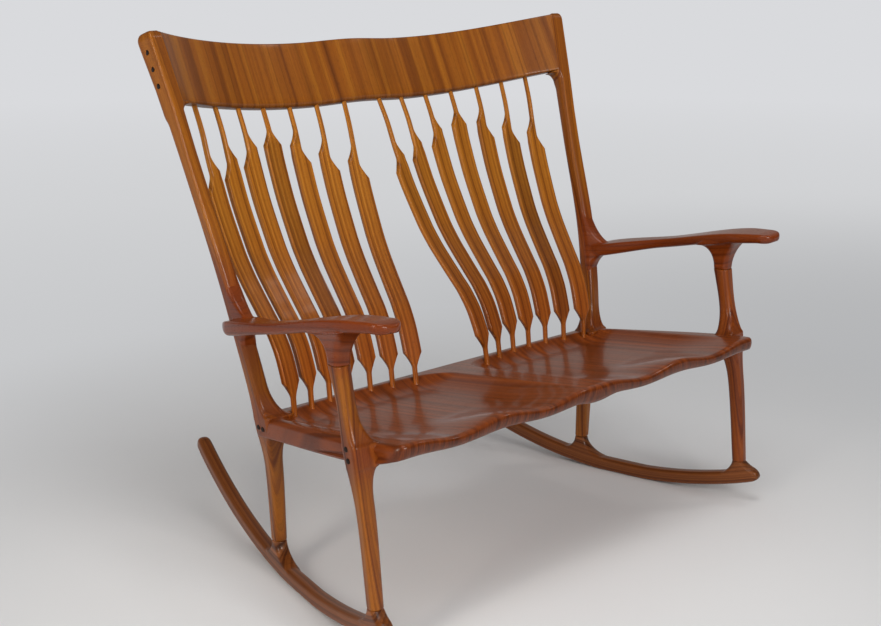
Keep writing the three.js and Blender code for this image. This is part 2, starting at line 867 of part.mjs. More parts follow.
// A brace's two ends: on the seat's rear ledge and under the crest
function braceEnds(number) {
  const seatOut = braceSeatFirst + braceSeatPitch * number;
  const bulge = Math.sin(Math.PI * (number / (bracesASide - 1)) ** 1.6);
  const crestOut = braceCrestFirst + braceCrestPitch * number + braceCrestBow * bulge;
  const middle = (bracesASide - 1) / 2;
  const bow = braceSeatBow * (1 - ((number - middle) / middle) ** 2);
  const seatBack = seatRearBack - braceSeatInset + bow;
  const low = crestLow(crestOut);
  return {
    seat: new THREE.Vector3(seatOut, seatBack, seatTop(seatOut, seatBack)),
    crest: new THREE.Vector3(crestOut, low.back, low.up),
  };
}

// The brace's sway behind the straight line between its ends, or in front of it where it's negative
const swayAt_shares = [0, 0.07, 0.14, 0.21, 0.27, 0.33, 0.39, 0.45, 0.52, 0.65, 0.79, 0.93, 1];
const sway_shares = [0, -0.56, -0.86, -1, -0.86, -0.44, 0, 0.38, 0.62, 0.7, 0.48, 0.05, 0];

// Where the blade's two edges and its thickness stand, from round tail to round neck
const lowShoulder_share = 0.112;
const highShoulder_share = 0.136;
const shoulderArch_share = 0.118;
const shoulderStep_share = 0.066;
const shoulderFlare_share = 0.055;

const bladeRun_shares = [0.13, 0.26, 0.38, 0.5, 0.66, 0.83];
const flareRun_shares = [0.65, 0.3];

function braceSkin(number, grow) {
  const ends = braceEnds(number);
  const run = ends.crest.clone().sub(ends.seat);
  const level = new THREE.Vector3(run.x, run.y, 0).normalize();
  const across = new THREE.Vector3(level.y, -level.x, 0);
  const middle = (bracesASide - 1) / 2;
  const top = 1 - highShoulder_share - shoulderArch_share * Math.abs((number - middle) / middle);
  const slant = (shoulderStep_share * Math.sign(middle - number)) / 2;
  const lowEnd = lowShoulder_share;
  const [outerTop, innerTop] = [top + slant, top - slant];
  const point = (share) => {
    const sway = braceSway * through(swayAt_shares, sway_shares, share);
    return ends.seat.clone().addScaledVector(run, share).addScaledVector(level, sway);
  };
  const edge = (share, shoulderTop) => {
    const past = Math.max(lowEnd - share, share - shoulderTop, 0);
    const narrow = share < lowEnd ? braceTail : braceNeck;
    return mix(narrow, braceHalfWide, clamp01(1 - past / shoulderFlare_share) ** 1.5);
  };
  const topEnd = Math.min(outerTop, innerTop);
  const flareEnd = Math.max(outerTop, innerTop) + shoulderFlare_share;
  const shares = [
    lowEnd - shoulderFlare_share,
    ...flareRun_shares.map((t) => lowEnd - shoulderFlare_share * t),
    lowEnd,
    ...bladeRun_shares.map((t) => mix(lowEnd, topEnd, t)),
    topEnd,
    topEnd + shoulderFlare_share * flareRun_shares[1],
    Math.max(outerTop, innerTop),
    ...flareRun_shares.toReversed().map((t) => flareEnd - shoulderFlare_share * (1 - t)),
    flareEnd,
  ].toSorted((a, b) => a - b);
  const places = [...new Set(shares)];
  const sections = places.map((share) => ({
    at: point(share),
    right: edge(share, outerTop),
    left: edge(share, innerTop),
    thick: through([0, lowEnd, topEnd, 1], [braceTail, braceHalfThick, braceHalfThick, braceNeck], share),
  }));
  const first = { ...sections[0], at: point(0).addScaledVector(run.clone().normalize(), -braceTenon - grow) };
  const lastAt = point(1).addScaledVector(run.clone().normalize(), braceTenon + grow);
  const last = { ...sections.at(-1), at: lastAt };
  const rings = [first, ...sections, last].map((section) =>
    ring(
      section.at,
      across,
      level,
      {
        left: section.left + grow,
        right: section.right + grow,
        down: section.thick + grow,
        top: section.thick + grow,
        corner: braceNeck,
      },
      1,
    ),
  );
  return skin(rings);
}

// Fastenings

function plugPlaces() {
  const frontUp = frontMidUp + frontPlugs.over;
  const places = [];
  const addPlace = (name, leg, at, screwed) => {
    const half = leg === "back" ? backLegHalf(at.z) : frontLegHalf(at.z);
    places.push({ name, leg, at, half, screwed });
  };
  [-0.5, 0.5].forEach((step, i) => {
    const at = backLegLine(backMidUp);
    at.y += step * rearPlugs.pitch - rearPlugs.ahead;
    addPlace(`rear_${i + 1}`, "back", at, true);
    addPlace(`front_${i + 1}`, "front", frontLegLine(frontUp + step * frontPlugs.pitch), true);
  });
  [0, 1, 2].forEach((step, i) => {
    addPlace(`crest_${i + 1}`, "back", backLegLine(backTop.up - crestPlugs.drop - step * crestPlugs.pitch), false);
  });
  return places;
}

// A plug's bore runs in from outside the leg's face, and the plug fills it flush with that face
function plugBore(place, grow) {
  const floor = place.at.clone();
  floor.x += place.half - plugDeep - grow;
  const mouth = place.at.clone();
  mouth.x += place.half + overrun;
  return pin(plugRadius + grow, floor, mouth, 12);
}

function screwSolid(place, grow) {
  const start = place.at.clone();
  start.x += place.half - plugDeep - fit;
  const profile = [
    [0, -grow],
    [screwHead.radius + grow, -grow],
    [screwHead.radius + grow, screwHead.tall / 2],
    [screwShank.radius + grow, screwHead.tall + grow],
    [screwShank.radius + grow, screwShank.length - screwShank.tip],
    [0, screwShank.length + grow],
  ];
  return turned(profile, 8, start, new THREE.Vector3(-1, 0, 0));
}

function dowel(joint, grow) {
  const low = joint.clone();
  low.z -= dowelHalf + grow;
  const high = joint.clone();
  high.z += dowelHalf + grow;
  return pin(dowelRadius + grow, low, high, 14);
}

// Assembly of the right side

const places = plugPlaces();
const frontJoint = new THREE.Vector3(frontFoot.out, frontFoot.back, frontFoot.up - fit / 2);
const rearJoint = new THREE.Vector3(backFoot.out, backFoot.back, backFoot.up - fit / 2);
const armJoint = new THREE.Vector3(frontTop.out, frontTop.back, frontTop.up + fit / 2);

function notch(inner, front, rear, inset) {
  return box(
    new THREE.Vector3(inner + inset, front + inset, 0),
    new THREE.Vector3(inner + overrun * 4, rear - inset, backTop.up),
  );
}

function frontNotchBox(inset) {
  const inner = frontSeat.out - frontNotch.inset;
  return notch(inner, frontSeat.back - frontNotch.half, frontSeat.back + frontNotch.half, inset);
}

function rearNotchBox(inset) {
  const inner = backSeat.out - rearNotch.inset;
  return notch(inner, backSeat.back - rearNotch.front, seatRearBack + overrun, inset);
}

// The space that the seat takes out of a leg: all of the seat but its notch
function seatSpace(notchBox) {
  const inside = seatSeams().at(-1) + fit / 2;
  return solid(seatSkin(inside, seatSideOut, seatSide_shares, fit)).subtract(notchBox(fit));
}

function boredLeg(whole, leg, notchBox, joints) {
  let body = whole.subtract(seatSpace(notchBox));
  places
    .filter((place) => place.leg === leg)
    .forEach((place) => {
      body = body.subtract(plugBore(place, fit));
      if (place.screwed) body = body.subtract(screwSolid(place, fit));
    });
  joints.forEach((joint) => {
    body = body.subtract(dowel(joint, fit));
  });
  return body;
}

const wholeFrontLeg = solid(frontLegSkin(0));
const wholeBackLeg = solid(backLegSkin(0))
  .add(solid(heelWebSkin()).subtract(heelSlab(0)))
  .add(solid(headWebSkin()));
const frontLegBody = boredLeg(wholeFrontLeg, "front", frontNotchBox, [frontJoint, armJoint]);
const backLegBody = boredLeg(wholeBackLeg, "back", rearNotchBox, [rearJoint]);

function rockerBody() {
  const foot = (place) => ({ ...place, up: place.up - fit });
  const frontReach = { side: 1, front: rockerToe - frontFoot.half - rockerTall / 2, rear: rockerTall };
  const backReach = { side: 1, front: 2 * rockerTall, rear: rockerTall };
  return solid(rockerSkin())
    .add(solid(riserSkin(foot(frontFoot), frontReach, 1)))
    .add(solid(riserSkin(foot(backFoot), backReach, 0)))
    .subtract(dowel(frontJoint, fit))
    .subtract(dowel(rearJoint, fit));
}

function armBody() {
  return solid(armSkin())
    .add(solid(armPostSkin()))
    .add(solid(heelWebSkin()).intersect(heelSlab(fit)))
    .subtract(solid(backLegSkin(fit)))
    .subtract(dowel(armJoint, fit));
}

// The seat's boards: their seams run front to back, half-way between two braces
function seatSeams() {
  const at = (number) => braceSeatFirst + braceSeatPitch * (number + seamBetween_share);
  return [0, at(0), at(2), at(4)];
}

const boardShare_shares = [0, 0.33, 0.67, 1];

function boardBody(number) {
  const seams = seatSeams();
  const inner = seams[number] + fit / 2;
  const isLast = number === seams.length - 1;
  const outer = isLast ? seatSideOut : () => seams[number + 1] - fit / 2;
  const shares = isLast ? seatSide_shares : boardShare_shares;
  let body = solid(seatSkin(inner, outer, shares, 0));
  for (let brace = 0; brace < bracesASide; brace += 1) {
    const out = braceEnds(brace).seat.x;
    const within = out > inner && (isLast || out < outer());
    if (within) body = body.subtract(solid(braceSkin(brace, fit)));
  }
  if (isLast) {
    body = body.subtract(frontNotchBox(0)).subtract(rearNotchBox(0));
    places.filter((place) => place.screwed).forEach((place) => {
      body = body.subtract(screwSolid(place, fit));
    });
  }
  return body;
}

function crestBody() {
  let body = solid(crestSkin());
  for (let brace = 0; brace < bracesASide; brace += 1) {
    const bore = geometryOf(solid(braceSkin(brace, fit)));
    body = body.subtract(solid(bore)).subtract(solid(mirrored(bore)));
  }
  return body;
}

// The group

const bench = new THREE.Group();
bench.name = "rocking_bench";

function addMesh(name, geometry, material) {
  const mesh = new THREE.Mesh(geometry, material);
  mesh.name = name;
  bench.add(mesh);
}

function addPair(name, body, material) {
  const right = geometryOf(body);
  addMesh(`${name}_right`, right, material);
  addMesh(`${name}_left`, mirrored(right), material);
}

addPair("rocker", rockerBody(), woods.red);
addPair("front_leg", frontLegBody, woods.gold);
addPair("back_leg", backLegBody, woods.gold);
addPair("arm", armBody(), woods.red);
addMesh("crest_rail", geometryOf(crestBody()), woods.gold);
seatSeams().forEach((_, i) => addPair(`seat_board_${i + 1}`, boardBody(i), woods.red));
for (let brace = 0; brace < bracesASide; brace += 1) {
  addPair(`brace_${brace + 1}`, solid(braceSkin(brace, 0)), woods.gold);
}
places.forEach((place) => {
  const face = place.leg === "back" ? wholeBackLeg : wholeFrontLeg;
  addPair(`plug_${place.name}`, plugBore(place, 0).intersect(face), woods.dark);
  if (place.screwed) addPair(`screw_${place.name}`, screwSolid(place, 0), woods.steel);
});
addPair("dowel_front_foot", dowel(frontJoint, 0), woods.pale);
addPair("dowel_rear_foot", dowel(rearJoint, 0), woods.pale);
addPair("dowel_arm", dowel(armJoint, 0), woods.pale);

// Centre the bench on its own footprint, with its lowest facets on the floor
const bounds = new THREE.Box3().setFromObject(bench);
const shift = bounds.getCenter(new THREE.Vector3()).negate();
shift.z = -bounds.min.z;
bench.children.forEach((mesh) => mesh.geometry.translate(0, shift.y, shift.z));

export default bench;
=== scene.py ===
"""A two-seat rocking bench of oiled hardwood, finished for rendering over its fixed frame."""

import itertools
import math

import bmesh
import bpy
import numpy as np
from mathutils import Matrix, Vector


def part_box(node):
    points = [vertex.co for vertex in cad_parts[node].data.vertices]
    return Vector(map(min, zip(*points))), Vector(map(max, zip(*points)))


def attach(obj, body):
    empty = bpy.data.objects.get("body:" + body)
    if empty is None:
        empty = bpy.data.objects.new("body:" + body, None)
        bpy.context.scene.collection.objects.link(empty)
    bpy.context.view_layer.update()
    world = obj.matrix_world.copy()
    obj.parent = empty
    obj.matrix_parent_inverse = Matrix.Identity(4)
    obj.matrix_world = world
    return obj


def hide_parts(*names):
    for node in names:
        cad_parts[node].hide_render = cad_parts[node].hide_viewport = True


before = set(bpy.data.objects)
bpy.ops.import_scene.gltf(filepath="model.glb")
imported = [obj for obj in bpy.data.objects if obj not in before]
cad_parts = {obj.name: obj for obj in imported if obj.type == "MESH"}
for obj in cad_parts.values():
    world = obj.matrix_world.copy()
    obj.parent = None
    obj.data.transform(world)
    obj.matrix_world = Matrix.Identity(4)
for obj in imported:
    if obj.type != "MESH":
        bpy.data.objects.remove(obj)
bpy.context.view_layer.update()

# Rockers. Each is a long bar bent from thin strips of red-brown hardwood, glued up in a curved
# form, with a block glued on under each foot and carved to grow out of the bar like a branch.
# They are sanded round, oiled and rubbed to a satin gloss.
front_foot, rear_foot = Vector((578, 0, 103)), Vector((486, 424, 79))
foot_half, leg_corner, glue_line = 15, 12, 0.3
toe_in = math.atan2(front_foot.x - rear_foot.x, rear_foot.y - front_foot.y)
rocker_across = Vector((math.cos(toe_in), math.sin(toe_in), 0))
rocker_along = Vector((-math.sin(toe_in), math.cos(toe_in), 0))
rocker_radius, rocker_flat_lift = 1110, 1.73
rocker_contact = 304 / rocker_along.y
rocker_toe, rocker_tail = -57, 880
rocker_half, rocker_tall, rocker_corner = 15.5, 33, 9
rocker_strip, rocker_pith = 5.5, (60, 40)
foot_side, foot_rear, foot_tuck, rear_foot_front = 1, 33, 11, 66
# The frame's middle, behind the front feet and over the lowest point of the rockers' arc
middle_back, middle_up = 395.6, 1.7


def placed(point):
    """A place in metres, from millimetres out of the middle, behind the front feet and over the arc."""
    return Vector((point[0], point[1] - middle_back, point[2] - middle_up)) / 1000


def measured(points):
    """The same millimetres again, from points in metres."""
    return points * 1000 + (0, middle_back, middle_up)


def share_of(value, start, end):
    return min(max((value - start) / (end - start), 0), 1)


def mixed(start, end, share):
    return start + (end - start) * share


def through(places, values, place):
    """The value at a place on a smooth curve through rising places, with no overshoot between them."""
    spans = [b - a for a, b in zip(places, places[1:])]
    grades = [(b - a) / span for a, b, span in zip(values, values[1:], spans)]
    slopes = []
    for i in range(len(places)):
        before, after = grades[max(i - 1, 0)], grades[min(i, len(grades) - 1)]
        slopes.append(0 if before * after <= 0 else 2 * before * after / (before + after))
    i = next((k for k in range(len(spans)) if place <= places[k + 1]), len(spans) - 1)
    t = share_of(place, places[i], places[i + 1])
    ease = t * t * (3 - 2 * t)
    turn = t * (1 - t) * ((1 - t) * slopes[i] - t * slopes[i + 1])
    return values[i] + (values[i + 1] - values[i]) * ease + turn * spans[i]


def flank(share):
    """The flank of a quarter-round fillet: 1 at its foot and 0 where it runs out."""
    t = min(max(1 - share, 0), 1)
    return 1 - math.sqrt(1 - t * t)


def outline(left, right, down, top, corners, turns=7):
    """Pairs of places, across and up, round a rectangle with rounded corners. The corners' radii
    start with the one on the right at the top and go on to the left."""
    flat_shares = (0.08, 0.25, 0.42, 0.58, 0.75, 0.92)
    most = 0.97 * min(left + right, down + top) / 2
    radii = [min(radius, most) for radius in corners]
    hubs = (
        (right - radii[0], top - radii[0]),
        (radii[1] - left, top - radii[1]),
        (radii[2] - left, radii[2] - down),
        (right - radii[3], radii[3] - down),
    )
    arcs = [
        [
            (a + radius * math.cos(turn), b + radius * math.sin(turn))
            for turn in ((quarter + i / turns) * math.pi / 2 for i in range(turns + 1))
        ]
        for quarter, ((a, b), radius) in enumerate(zip(hubs, radii))
    ]
    pairs = []
    for arc, after in zip(arcs, arcs[1:] + arcs[:1]):
        (a, b), (c, d) = arc[-1], after[0]
        pairs += arc + [(mixed(a, c, t), mixed(b, d, t)) for t in flat_shares]
    return pairs


def ring(centre, across, up, pairs):
    return [centre + across * a + up * b for a, b in pairs]


def turned(turn, tilt=0):
    """The directions across and back of a section that is turned about the vertical and tilted."""
    return Vector((math.cos(turn), math.sin(turn), 0)), Vector((-math.sin(turn), math.cos(turn), tilt))


def sleeve(mesh, rings):
    """Adds a closed skin through rings of equal counts: a grid rolled up, with its ends filled."""
    rows, count = len(rings) - 1, len(rings[0])
    grid = bmesh.ops.create_grid(mesh, x_segments=rows, y_segments=count, size=0.5)["verts"]
    for vert in grid:
        row, place = round((vert.co.x + 0.5) * rows), round((vert.co.y + 0.5) * count)
        vert.co = placed(rings[row][place % count])
    bmesh.ops.remove_doubles(mesh, verts=grid, dist=1e-6)
    bmesh.ops.holes_fill(mesh, edges=[edge for edge in mesh.edges if edge.is_boundary], sides=0)
    bmesh.ops.recalc_face_normals(mesh, faces=mesh.faces)


def skin_of(mesh):
    skin = bpy.data.meshes.new("skin")
    mesh.to_mesh(skin)
    mesh.free()
    return skin


def put(name, data):
    """A new object in the scene, at the origin."""
    thing = bpy.data.objects.new(name, data)
    bpy.context.scene.collection.objects.link(thing)
    return thing


def carved(mesh, grit, rounds):
    """The overlapping skins of a mesh made one, with the creases between them sanded soft."""
    block = put("block", skin_of(mesh))
    one_skin = block.modifiers.new("one skin", "REMESH")
    one_skin.mode = "VOXEL"
    one_skin.voxel_size = grit / 1000
    sanding = block.modifiers.new("sanding", "SMOOTH")
    sanding.factor = 0.5
    sanding.iterations = rounds
    bpy.context.view_layer.update()
    skin = bpy.data.meshes.new_from_object(block.evaluated_get(bpy.context.evaluated_depsgraph_get()))
    bpy.data.objects.remove(block)
    return skin


def mirrored(skin):
    """The left-hand twin of a right-hand skin."""
    mesh = bmesh.new()
    mesh.from_mesh(skin)
    bmesh.ops.scale(mesh, vec=(-1, 1, 1), verts=mesh.verts)
    bmesh.ops.recalc_face_normals(mesh, faces=mesh.faces)
    return skin_of(mesh)


def linear(code):
    """The linear colour, with full opacity, of an sRGB hex value."""
    parts = [int(code[i : i + 2], 16) / 255 for i in (1, 3, 5)]
    return (*[c / 12.92 if c <= 0.04045 else ((c + 0.055) / 1.055) ** 2.4 for c in parts], 1)


def fresh(finish):
    """The empty node tree of a new material or world."""
    finish.use_nodes = True
    finish.node_tree.nodes.clear()
    return finish.node_tree


def node(tree, kind, inputs=None, stops=None, gives=0, **settings):
    """Adds a node with its settings, its inputs as values or as sockets to link, and its colour
    stops. The output that it gives is returned."""
    made = tree.nodes.new(kind)
    for name, value in settings.items():
        setattr(made, name, value)
    for name, value in (inputs or {}).items():
        if isinstance(value, bpy.types.NodeSocket):
            tree.links.new(value, made.inputs[name])
        else:
            made.inputs[name].default_value = value
    if stops:
        while len(made.color_ramp.elements) < len(stops):
            made.color_ramp.elements.new(1)
        for element, (place, colour) in zip(made.color_ramp.elements, stops):
            element.position, element.color = place, colour
    return made.outputs[gives] if made.outputs else None


def grey(value):
    return (value, value, value, 1)


def oiled_hardwood(
    name, pale, gold, brown, streak, ring_mm, line_mm, wander_mm, strip_mm=0, rough=0.36, coat=0.2
):
    """Sawn and hand-rubbed tropical hardwood under oil. The eye gets bands of gold and red-brown in
    the growth rings, thin dark lines, long fibres, short open pores and a soft gloss over them.
    The pattern is solid: it is read where each point lay in the plank, with the grain along Z."""
    finish = bpy.data.materials.new(name)
    tree = fresh(finish)
    plank = node(tree, "ShaderNodeAttribute", attribute_name="plank", gives="Vector")

    # The rings wander along the trunk over about 120 mm across the grain and 600 mm along it
    slow = node(tree, "ShaderNodeMapping", {"Vector": plank, "Scale": (8, 8, 1.6)})
    drift = node(
        tree,
        "ShaderNodeTexNoise",
        {"Vector": slow, "Scale": 1, "Detail": 2.5, "Roughness": 0.55},
        gives="Color",
    )
    wander = wander_mm / 1000
    bent = node(
        tree, "ShaderNodeVectorMath", {0: drift, 1: (wander, wander, 0), 2: plank}, operation="MULTIPLY_ADD"
    )
    across = node(tree, "ShaderNodeVectorMath", {0: bent, 1: (1, 1, 0)}, operation="MULTIPLY")
    depth = node(tree, "ShaderNodeVectorMath", {0: across}, operation="LENGTH", gives="Value")

    # Bands of a ring's width, and thin dark lines where growth stopped
    bands, lines = [
        node(
            tree,
            "ShaderNodeTexNoise",
            {"W": depth, "Scale": 1000 / apart, "Detail": detail, "Roughness": 0.6},
            noise_dimensions="1D",
        )
        for apart, detail in ((ring_mm, 3), (line_mm, 1.5))
    ]
    colour = node(
        tree,
        "ShaderNodeValToRGB",
        {"Fac": bands},
        [(0.27, linear(streak)), (0.4, linear(brown)), (0.52, linear(gold)), (0.7, linear(pale))],
    )
    line_shade = node(tree, "ShaderNodeValToRGB", {"Fac": lines}, [(0.31, grey(0.5)), (0.42, grey(1))])

    # Slow patches lighter or darker over a hand's width, fibres 1.1 mm wide and 45 mm long, open
    # pores 0.5 mm wide and 11 mm long, and the fine rays of end grain, about 2 mm apart across the
    # rings. The fibres and pores are drawn a little coarser than they are, so that they show.
    noises, shades = {}, {}
    for label, scale, detail, stops in (
        ("patch", (14, 14, 3.5), 3, [(0.3, 0.8), (0.5, 0.96), (0.72, 1)]),
        ("fibre", (900, 900, 22), 2, [(0.3, 0.8), (0.6, 1)]),
        ("pore", (1900, 1900, 90), 0, [(0.27, 0.55), (0.34, 1)]),
        ("ray", (480, 18, 30), 2, [(0.32, 0.3), (0.62, 0.72)]),
    ):
        at = node(tree, "ShaderNodeMapping", {"Vector": plank, "Scale": scale})
        noise = node(tree, "ShaderNodeTexNoise", {"Vector": at, "Scale": 1, "Detail": detail})
        greys = [(place, grey(value)) for place, value in stops]
        shades[label] = node(tree, "ShaderNodeValToRGB", {"Fac": noise}, greys)
        noises[label] = noise
    layers = [(0.45, line_shade), (0.8, shades["patch"]), (0.6, shades["fibre"]), (0.7, shades["pore"])]

    if strip_mm:
        # Glued strips: each has its own tone, and a hair-thin dark glue line lies between them
        height = node(tree, "ShaderNodeSeparateXYZ", {0: plank}, gives=1)
        count = node(tree, "ShaderNodeMath", {0: height, 1: 1000 / strip_mm}, operation="MULTIPLY")
        number = node(tree, "ShaderNodeMath", {0: count}, operation="FLOOR")
        chance = node(tree, "ShaderNodeTexWhiteNoise", {"W": number}, noise_dimensions="1D", gives="Value")
        inside = node(tree, "ShaderNodeMath", {0: count, 1: 1}, operation="PINGPONG")
        part = node(tree, "ShaderNodeMath", {0: inside, 1: 0.5}, operation="SUBTRACT")
        from_line = node(tree, "ShaderNodeMath", {0: part}, operation="ABSOLUTE")
        for place, stops in (
            (chance, [(0, grey(0.86)), (1, grey(1))]),
            (from_line, [(0.44, grey(1)), (0.5, grey(0.55))]),
        ):
            layers.append((0.8, node(tree, "ShaderNodeValToRGB", {"Fac": place}, stops)))

    # End grain drinks more oil and is darker. A second layer makes the wood darker and redder where a
    # piece asks for it: round the legs' joints at the seat and the arm, low on the braces, and all over
    # the right-hand front leg, where it is painted shade.
    for label, shade in (("end_grain", shades["ray"]), ("ripe", linear("#e4c4d4"))):
        layers.append((node(tree, "ShaderNodeAttribute", attribute_name=label, gives="Fac"), shade))
    for strength, shade in layers:
        colour = node(
            tree,
            "ShaderNodeMix",
            {0: strength, 6: colour, 7: shade},
            data_type="RGBA",
            blend_type="MULTIPLY",
            gives=2,
        )

    # Hands and sleeves have rubbed the edges a little paler and smoother
    edge = node(tree, "ShaderNodeAttribute", attribute_name="rubbed", gives="Fac")
    rub = node(tree, "ShaderNodeMath", {0: edge, 1: 0.12}, operation="MULTIPLY")
    colour = node(
        tree, "ShaderNodeMix", {0: rub, 6: colour, 7: linear(pale)}, data_type="RGBA", gives=2
    )
    dull = node(
        tree,
        "ShaderNodeMapRange",
        {
            "Value": noises["fibre"],
            "From Min": 0.3,
            "From Max": 0.7,
            "To Min": rough + 0.08,
            "To Max": rough - 0.06,
        },
    )
    roughness = node(tree, "ShaderNodeMath", {0: edge, 1: -0.08, 2: dull}, operation="MULTIPLY_ADD")

    # Pores and fibres stand a fraction of a millimetre in the surface
    relief = node(
        tree,
        "ShaderNodeMix",
        {0: 0.5, 6: shades["pore"], 7: shades["fibre"]},
        data_type="RGBA",
        blend_type="MULTIPLY",
        gives=2,
    )
    bump = node(tree, "ShaderNodeBump", {"Height": relief, "Strength": 0.25, "Distance": 0.0003})
    surface = node(
        tree,
        "ShaderNodeBsdfPrincipled",
        {
            "Base Color": colour,
            "Roughness": roughness,
            "Specular IOR Level": 0.2,
            "Coat Weight": coat,
            "Coat Roughness": 0.12,
            "Normal": bump,
        },
    )
    node(tree, "ShaderNodeOutputMaterial", {"Surface": surface})
    return finish


cuts = itertools.count(1)


def dress(
    name, skin, grain, finish, slot, *nodes, ripe=lambda p: 0 * p[:, 0], bare=lambda p: 1, open_ends=1
):
    """Makes a piece of a skin. Each of its points keeps where it lay in the plank, how squarely it
    shows end grain, how far it stands on an outer edge that is bare to the hand, and how much darker
    and redder its tone is made (painted shade on the right-hand front leg). It rides on the bench for
    its nodes."""
    piece = put(name, skin)
    skin.materials.clear()
    skin.materials.append(finish)
    skin.shade_smooth()
    skin.set_sharp_from_angle(angle=math.radians(50))
    count = len(skin.vertices)
    points, normals = np.zeros(count * 3), np.zeros(count * 3)
    skin.vertices.foreach_get("co", points)
    skin.vertex_normals.foreach_get("vector", normals)
    points, normals = points.reshape(-1, 3), normals.reshape(-1, 3)

    # End grain shows where a step out of the surface is a step along the plank
    step = 1e-4
    plank = grain(points)
    ends = ((grain(points + normals * step) - plank)[:, 2] / step) ** 2

    # The bend at a point, in radians per metre, is taken over all the edges that meet there
    gentle, tight = 40, 180
    pairs = np.zeros(len(skin.edges) * 2, int)
    skin.edges.foreach_get("vertices", pairs)
    first, second = pairs[::2], pairs[1::2]
    runs = points[second] - points[first]
    squares = np.maximum((runs**2).sum(1), 1e-12)
    bends = [-(normals[first] * runs).sum(1) / squares, (normals[second] * runs).sum(1) / squares]
    total = np.bincount(first, bends[0], count) + np.bincount(second, bends[1], count)
    degree = np.maximum(np.bincount(first, minlength=count) + np.bincount(second, minlength=count), 1)
    rubbed = np.clip((2 * total / degree - gentle) / (tight - gentle), 0, 1) * bare(points)

    # Each piece is sawn from a place of its own in the plank
    cut = next(cuts)
    plank = plank + (0.006 * math.sin(7.3 * cut), 0.009 * math.sin(3.1 * cut), 0.83 * cut)
    for label, kind, key, values in (
        ("plank", "FLOAT_VECTOR", "vector", plank.ravel()),
        ("end_grain", "FLOAT", "value", np.clip(ends, 0, 1) * open_ends),
        ("rubbed", "FLOAT", "value", rubbed),
        ("ripe", "FLOAT", "value", ripe(points)),
    ):
        skin.attributes.new(label, kind, "POINT").data.foreach_set(key, values.astype(np.float32))
    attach(piece, "root")
    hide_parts(*nodes)
    return piece


def dress_pair(name, skin, grain, finish, slot, **tones):
    """A right-hand piece and its left-hand twin, for the two nodes of that name."""
    twin = mirrored(skin)
    for side, half, place in (("right", skin, grain), ("left", twin, lambda p: grain(p * (-1, 1, 1)))):
        dress(f"oiled_{name}_{side}", half, place, finish, slot, f"{name}_{side}", **tones)


def rocker_point(along, above):
    """A place over the bar's floor side, at a distance along from the front foot."""
    angle = math.asin((along - rocker_contact) / rocker_radius)
    reach = rocker_contact + (rocker_radius - above) * math.sin(angle)
    rise = rocker_radius - (rocker_radius - above) * math.cos(angle)
    lift = max(rocker_flat_lift - rocker_radius * (1 - math.cos(angle)), 0)
    return Vector((front_foot.x, front_foot.y, rise + lift)) + rocker_along * reach, angle


def rocker_ring(along, down, top, wide):
    centre, angle = rocker_point(along, 0)
    up = Vector((0, 0, math.cos(angle))) - rocker_along * math.sin(angle)
    half = rocker_half * wide
    pairs = outline(half, half, -rocker_tall * down, rocker_tall * top, [rocker_corner] * 4)
    return ring(centre, rocker_across, up, pairs)


def end_rings(tip, inwards, runs, shares):
    """Rings in from an end of the bar, where its floor side, its top and its sides round off."""
    tip_runs = [0, 4, 15, 33]
    return [
        rocker_ring(tip + inwards * run, *[through(tip_runs, values, run) for values in shares])
        for run in runs
    ]


def trumpet(joint, half, turn, rise, slope, side, front, rear, tuck, straight=0):
    """Rings of a block that starts with a leg's section and reaches out as it runs into a bar.
    Past the bar's face it draws in again, so that its end stays inside."""
    across, rearward = turned(toe_in * turn)
    past, steps = 0.2, 24
    rings = []
    for i in range(steps + 1):
        share = (1 + past) * i / steps
        swell = flank(1 - share) if share < 1 else mixed(1, 0.7, (share - 1) / past)
        up = rise * min(share, 1) + math.copysign(tuck, rise) * max(share - 1, 0) / past
        ahead = mixed(swell, up / rise, straight)
        wide = half + side * swell
        pairs = outline(wide, wide, half + front * ahead, half + rear * swell, [leg_corner] * 4)
        tilted = rearward + Vector((0, 0, slope * min(share, 1)))
        rings.append(ring(joint + Vector((0, 0, up)), across, tilted, pairs))
    return rings


rocker = bmesh.new()
end_runs = [0, 1, 3, 6, 10, 15, 21, 27, 33]
toe_shares = ([0.26, 0.12, 0.02, 0], [0.45, 0.6, 0.86, 1], [0.5, 0.82, 1, 1])
tail_shares = ([0.34, 0.14, 0.02, 0], [0.66, 0.86, 0.98, 1], [0.45, 0.8, 0.98, 1])
bar_step = 6
bar_from, bar_to = rocker_toe + end_runs[-1] + bar_step, rocker_tail - end_runs[-1] - bar_step // 2
rocker_rings = end_rings(rocker_toe, 1, end_runs, toe_shares)
rocker_rings += [rocker_ring(along, 0, 1, 1) for along in range(bar_from, bar_to, bar_step)]
rocker_rings += end_rings(rocker_tail, -1, end_runs[::-1], tail_shares)
sleeve(rocker, rocker_rings)
# The block under the front leg runs straight out to the toe, the one under the back leg in a curve
toe_reach = -rocker_toe - foot_half - rocker_tall / 2
for foot, front, straight in ((front_foot, toe_reach, 1), (rear_foot, rear_foot_front, 0)):
    along = (foot.y - front_foot.y) / rocker_along.y
    bar_top, angle = rocker_point(along, rocker_tall)
    joint = foot - Vector((0, 0, glue_line))
    rise, slope = bar_top.z - joint.z, math.tan(angle)
    sleeve(
        rocker,
        trumpet(joint, foot_half, 1, rise, slope, foot_side, front, foot_rear, foot_tuck, straight),
    )


def rocker_grain(points):
    """The strips follow the arc: across the bar, through the strips and along them."""
    bench = measured(points) - np.array(front_foot)
    along = bench @ np.array(rocker_along) - rocker_contact
    height = rocker_radius - (bench[:, 2] + front_foot.z)
    across = bench @ np.array(rocker_across) + rocker_pith[0]
    radial = rocker_radius - np.hypot(along, height) + rocker_pith[1]
    return np.stack([across, radial, np.arctan2(along, height) * rocker_radius], 1) / 1000


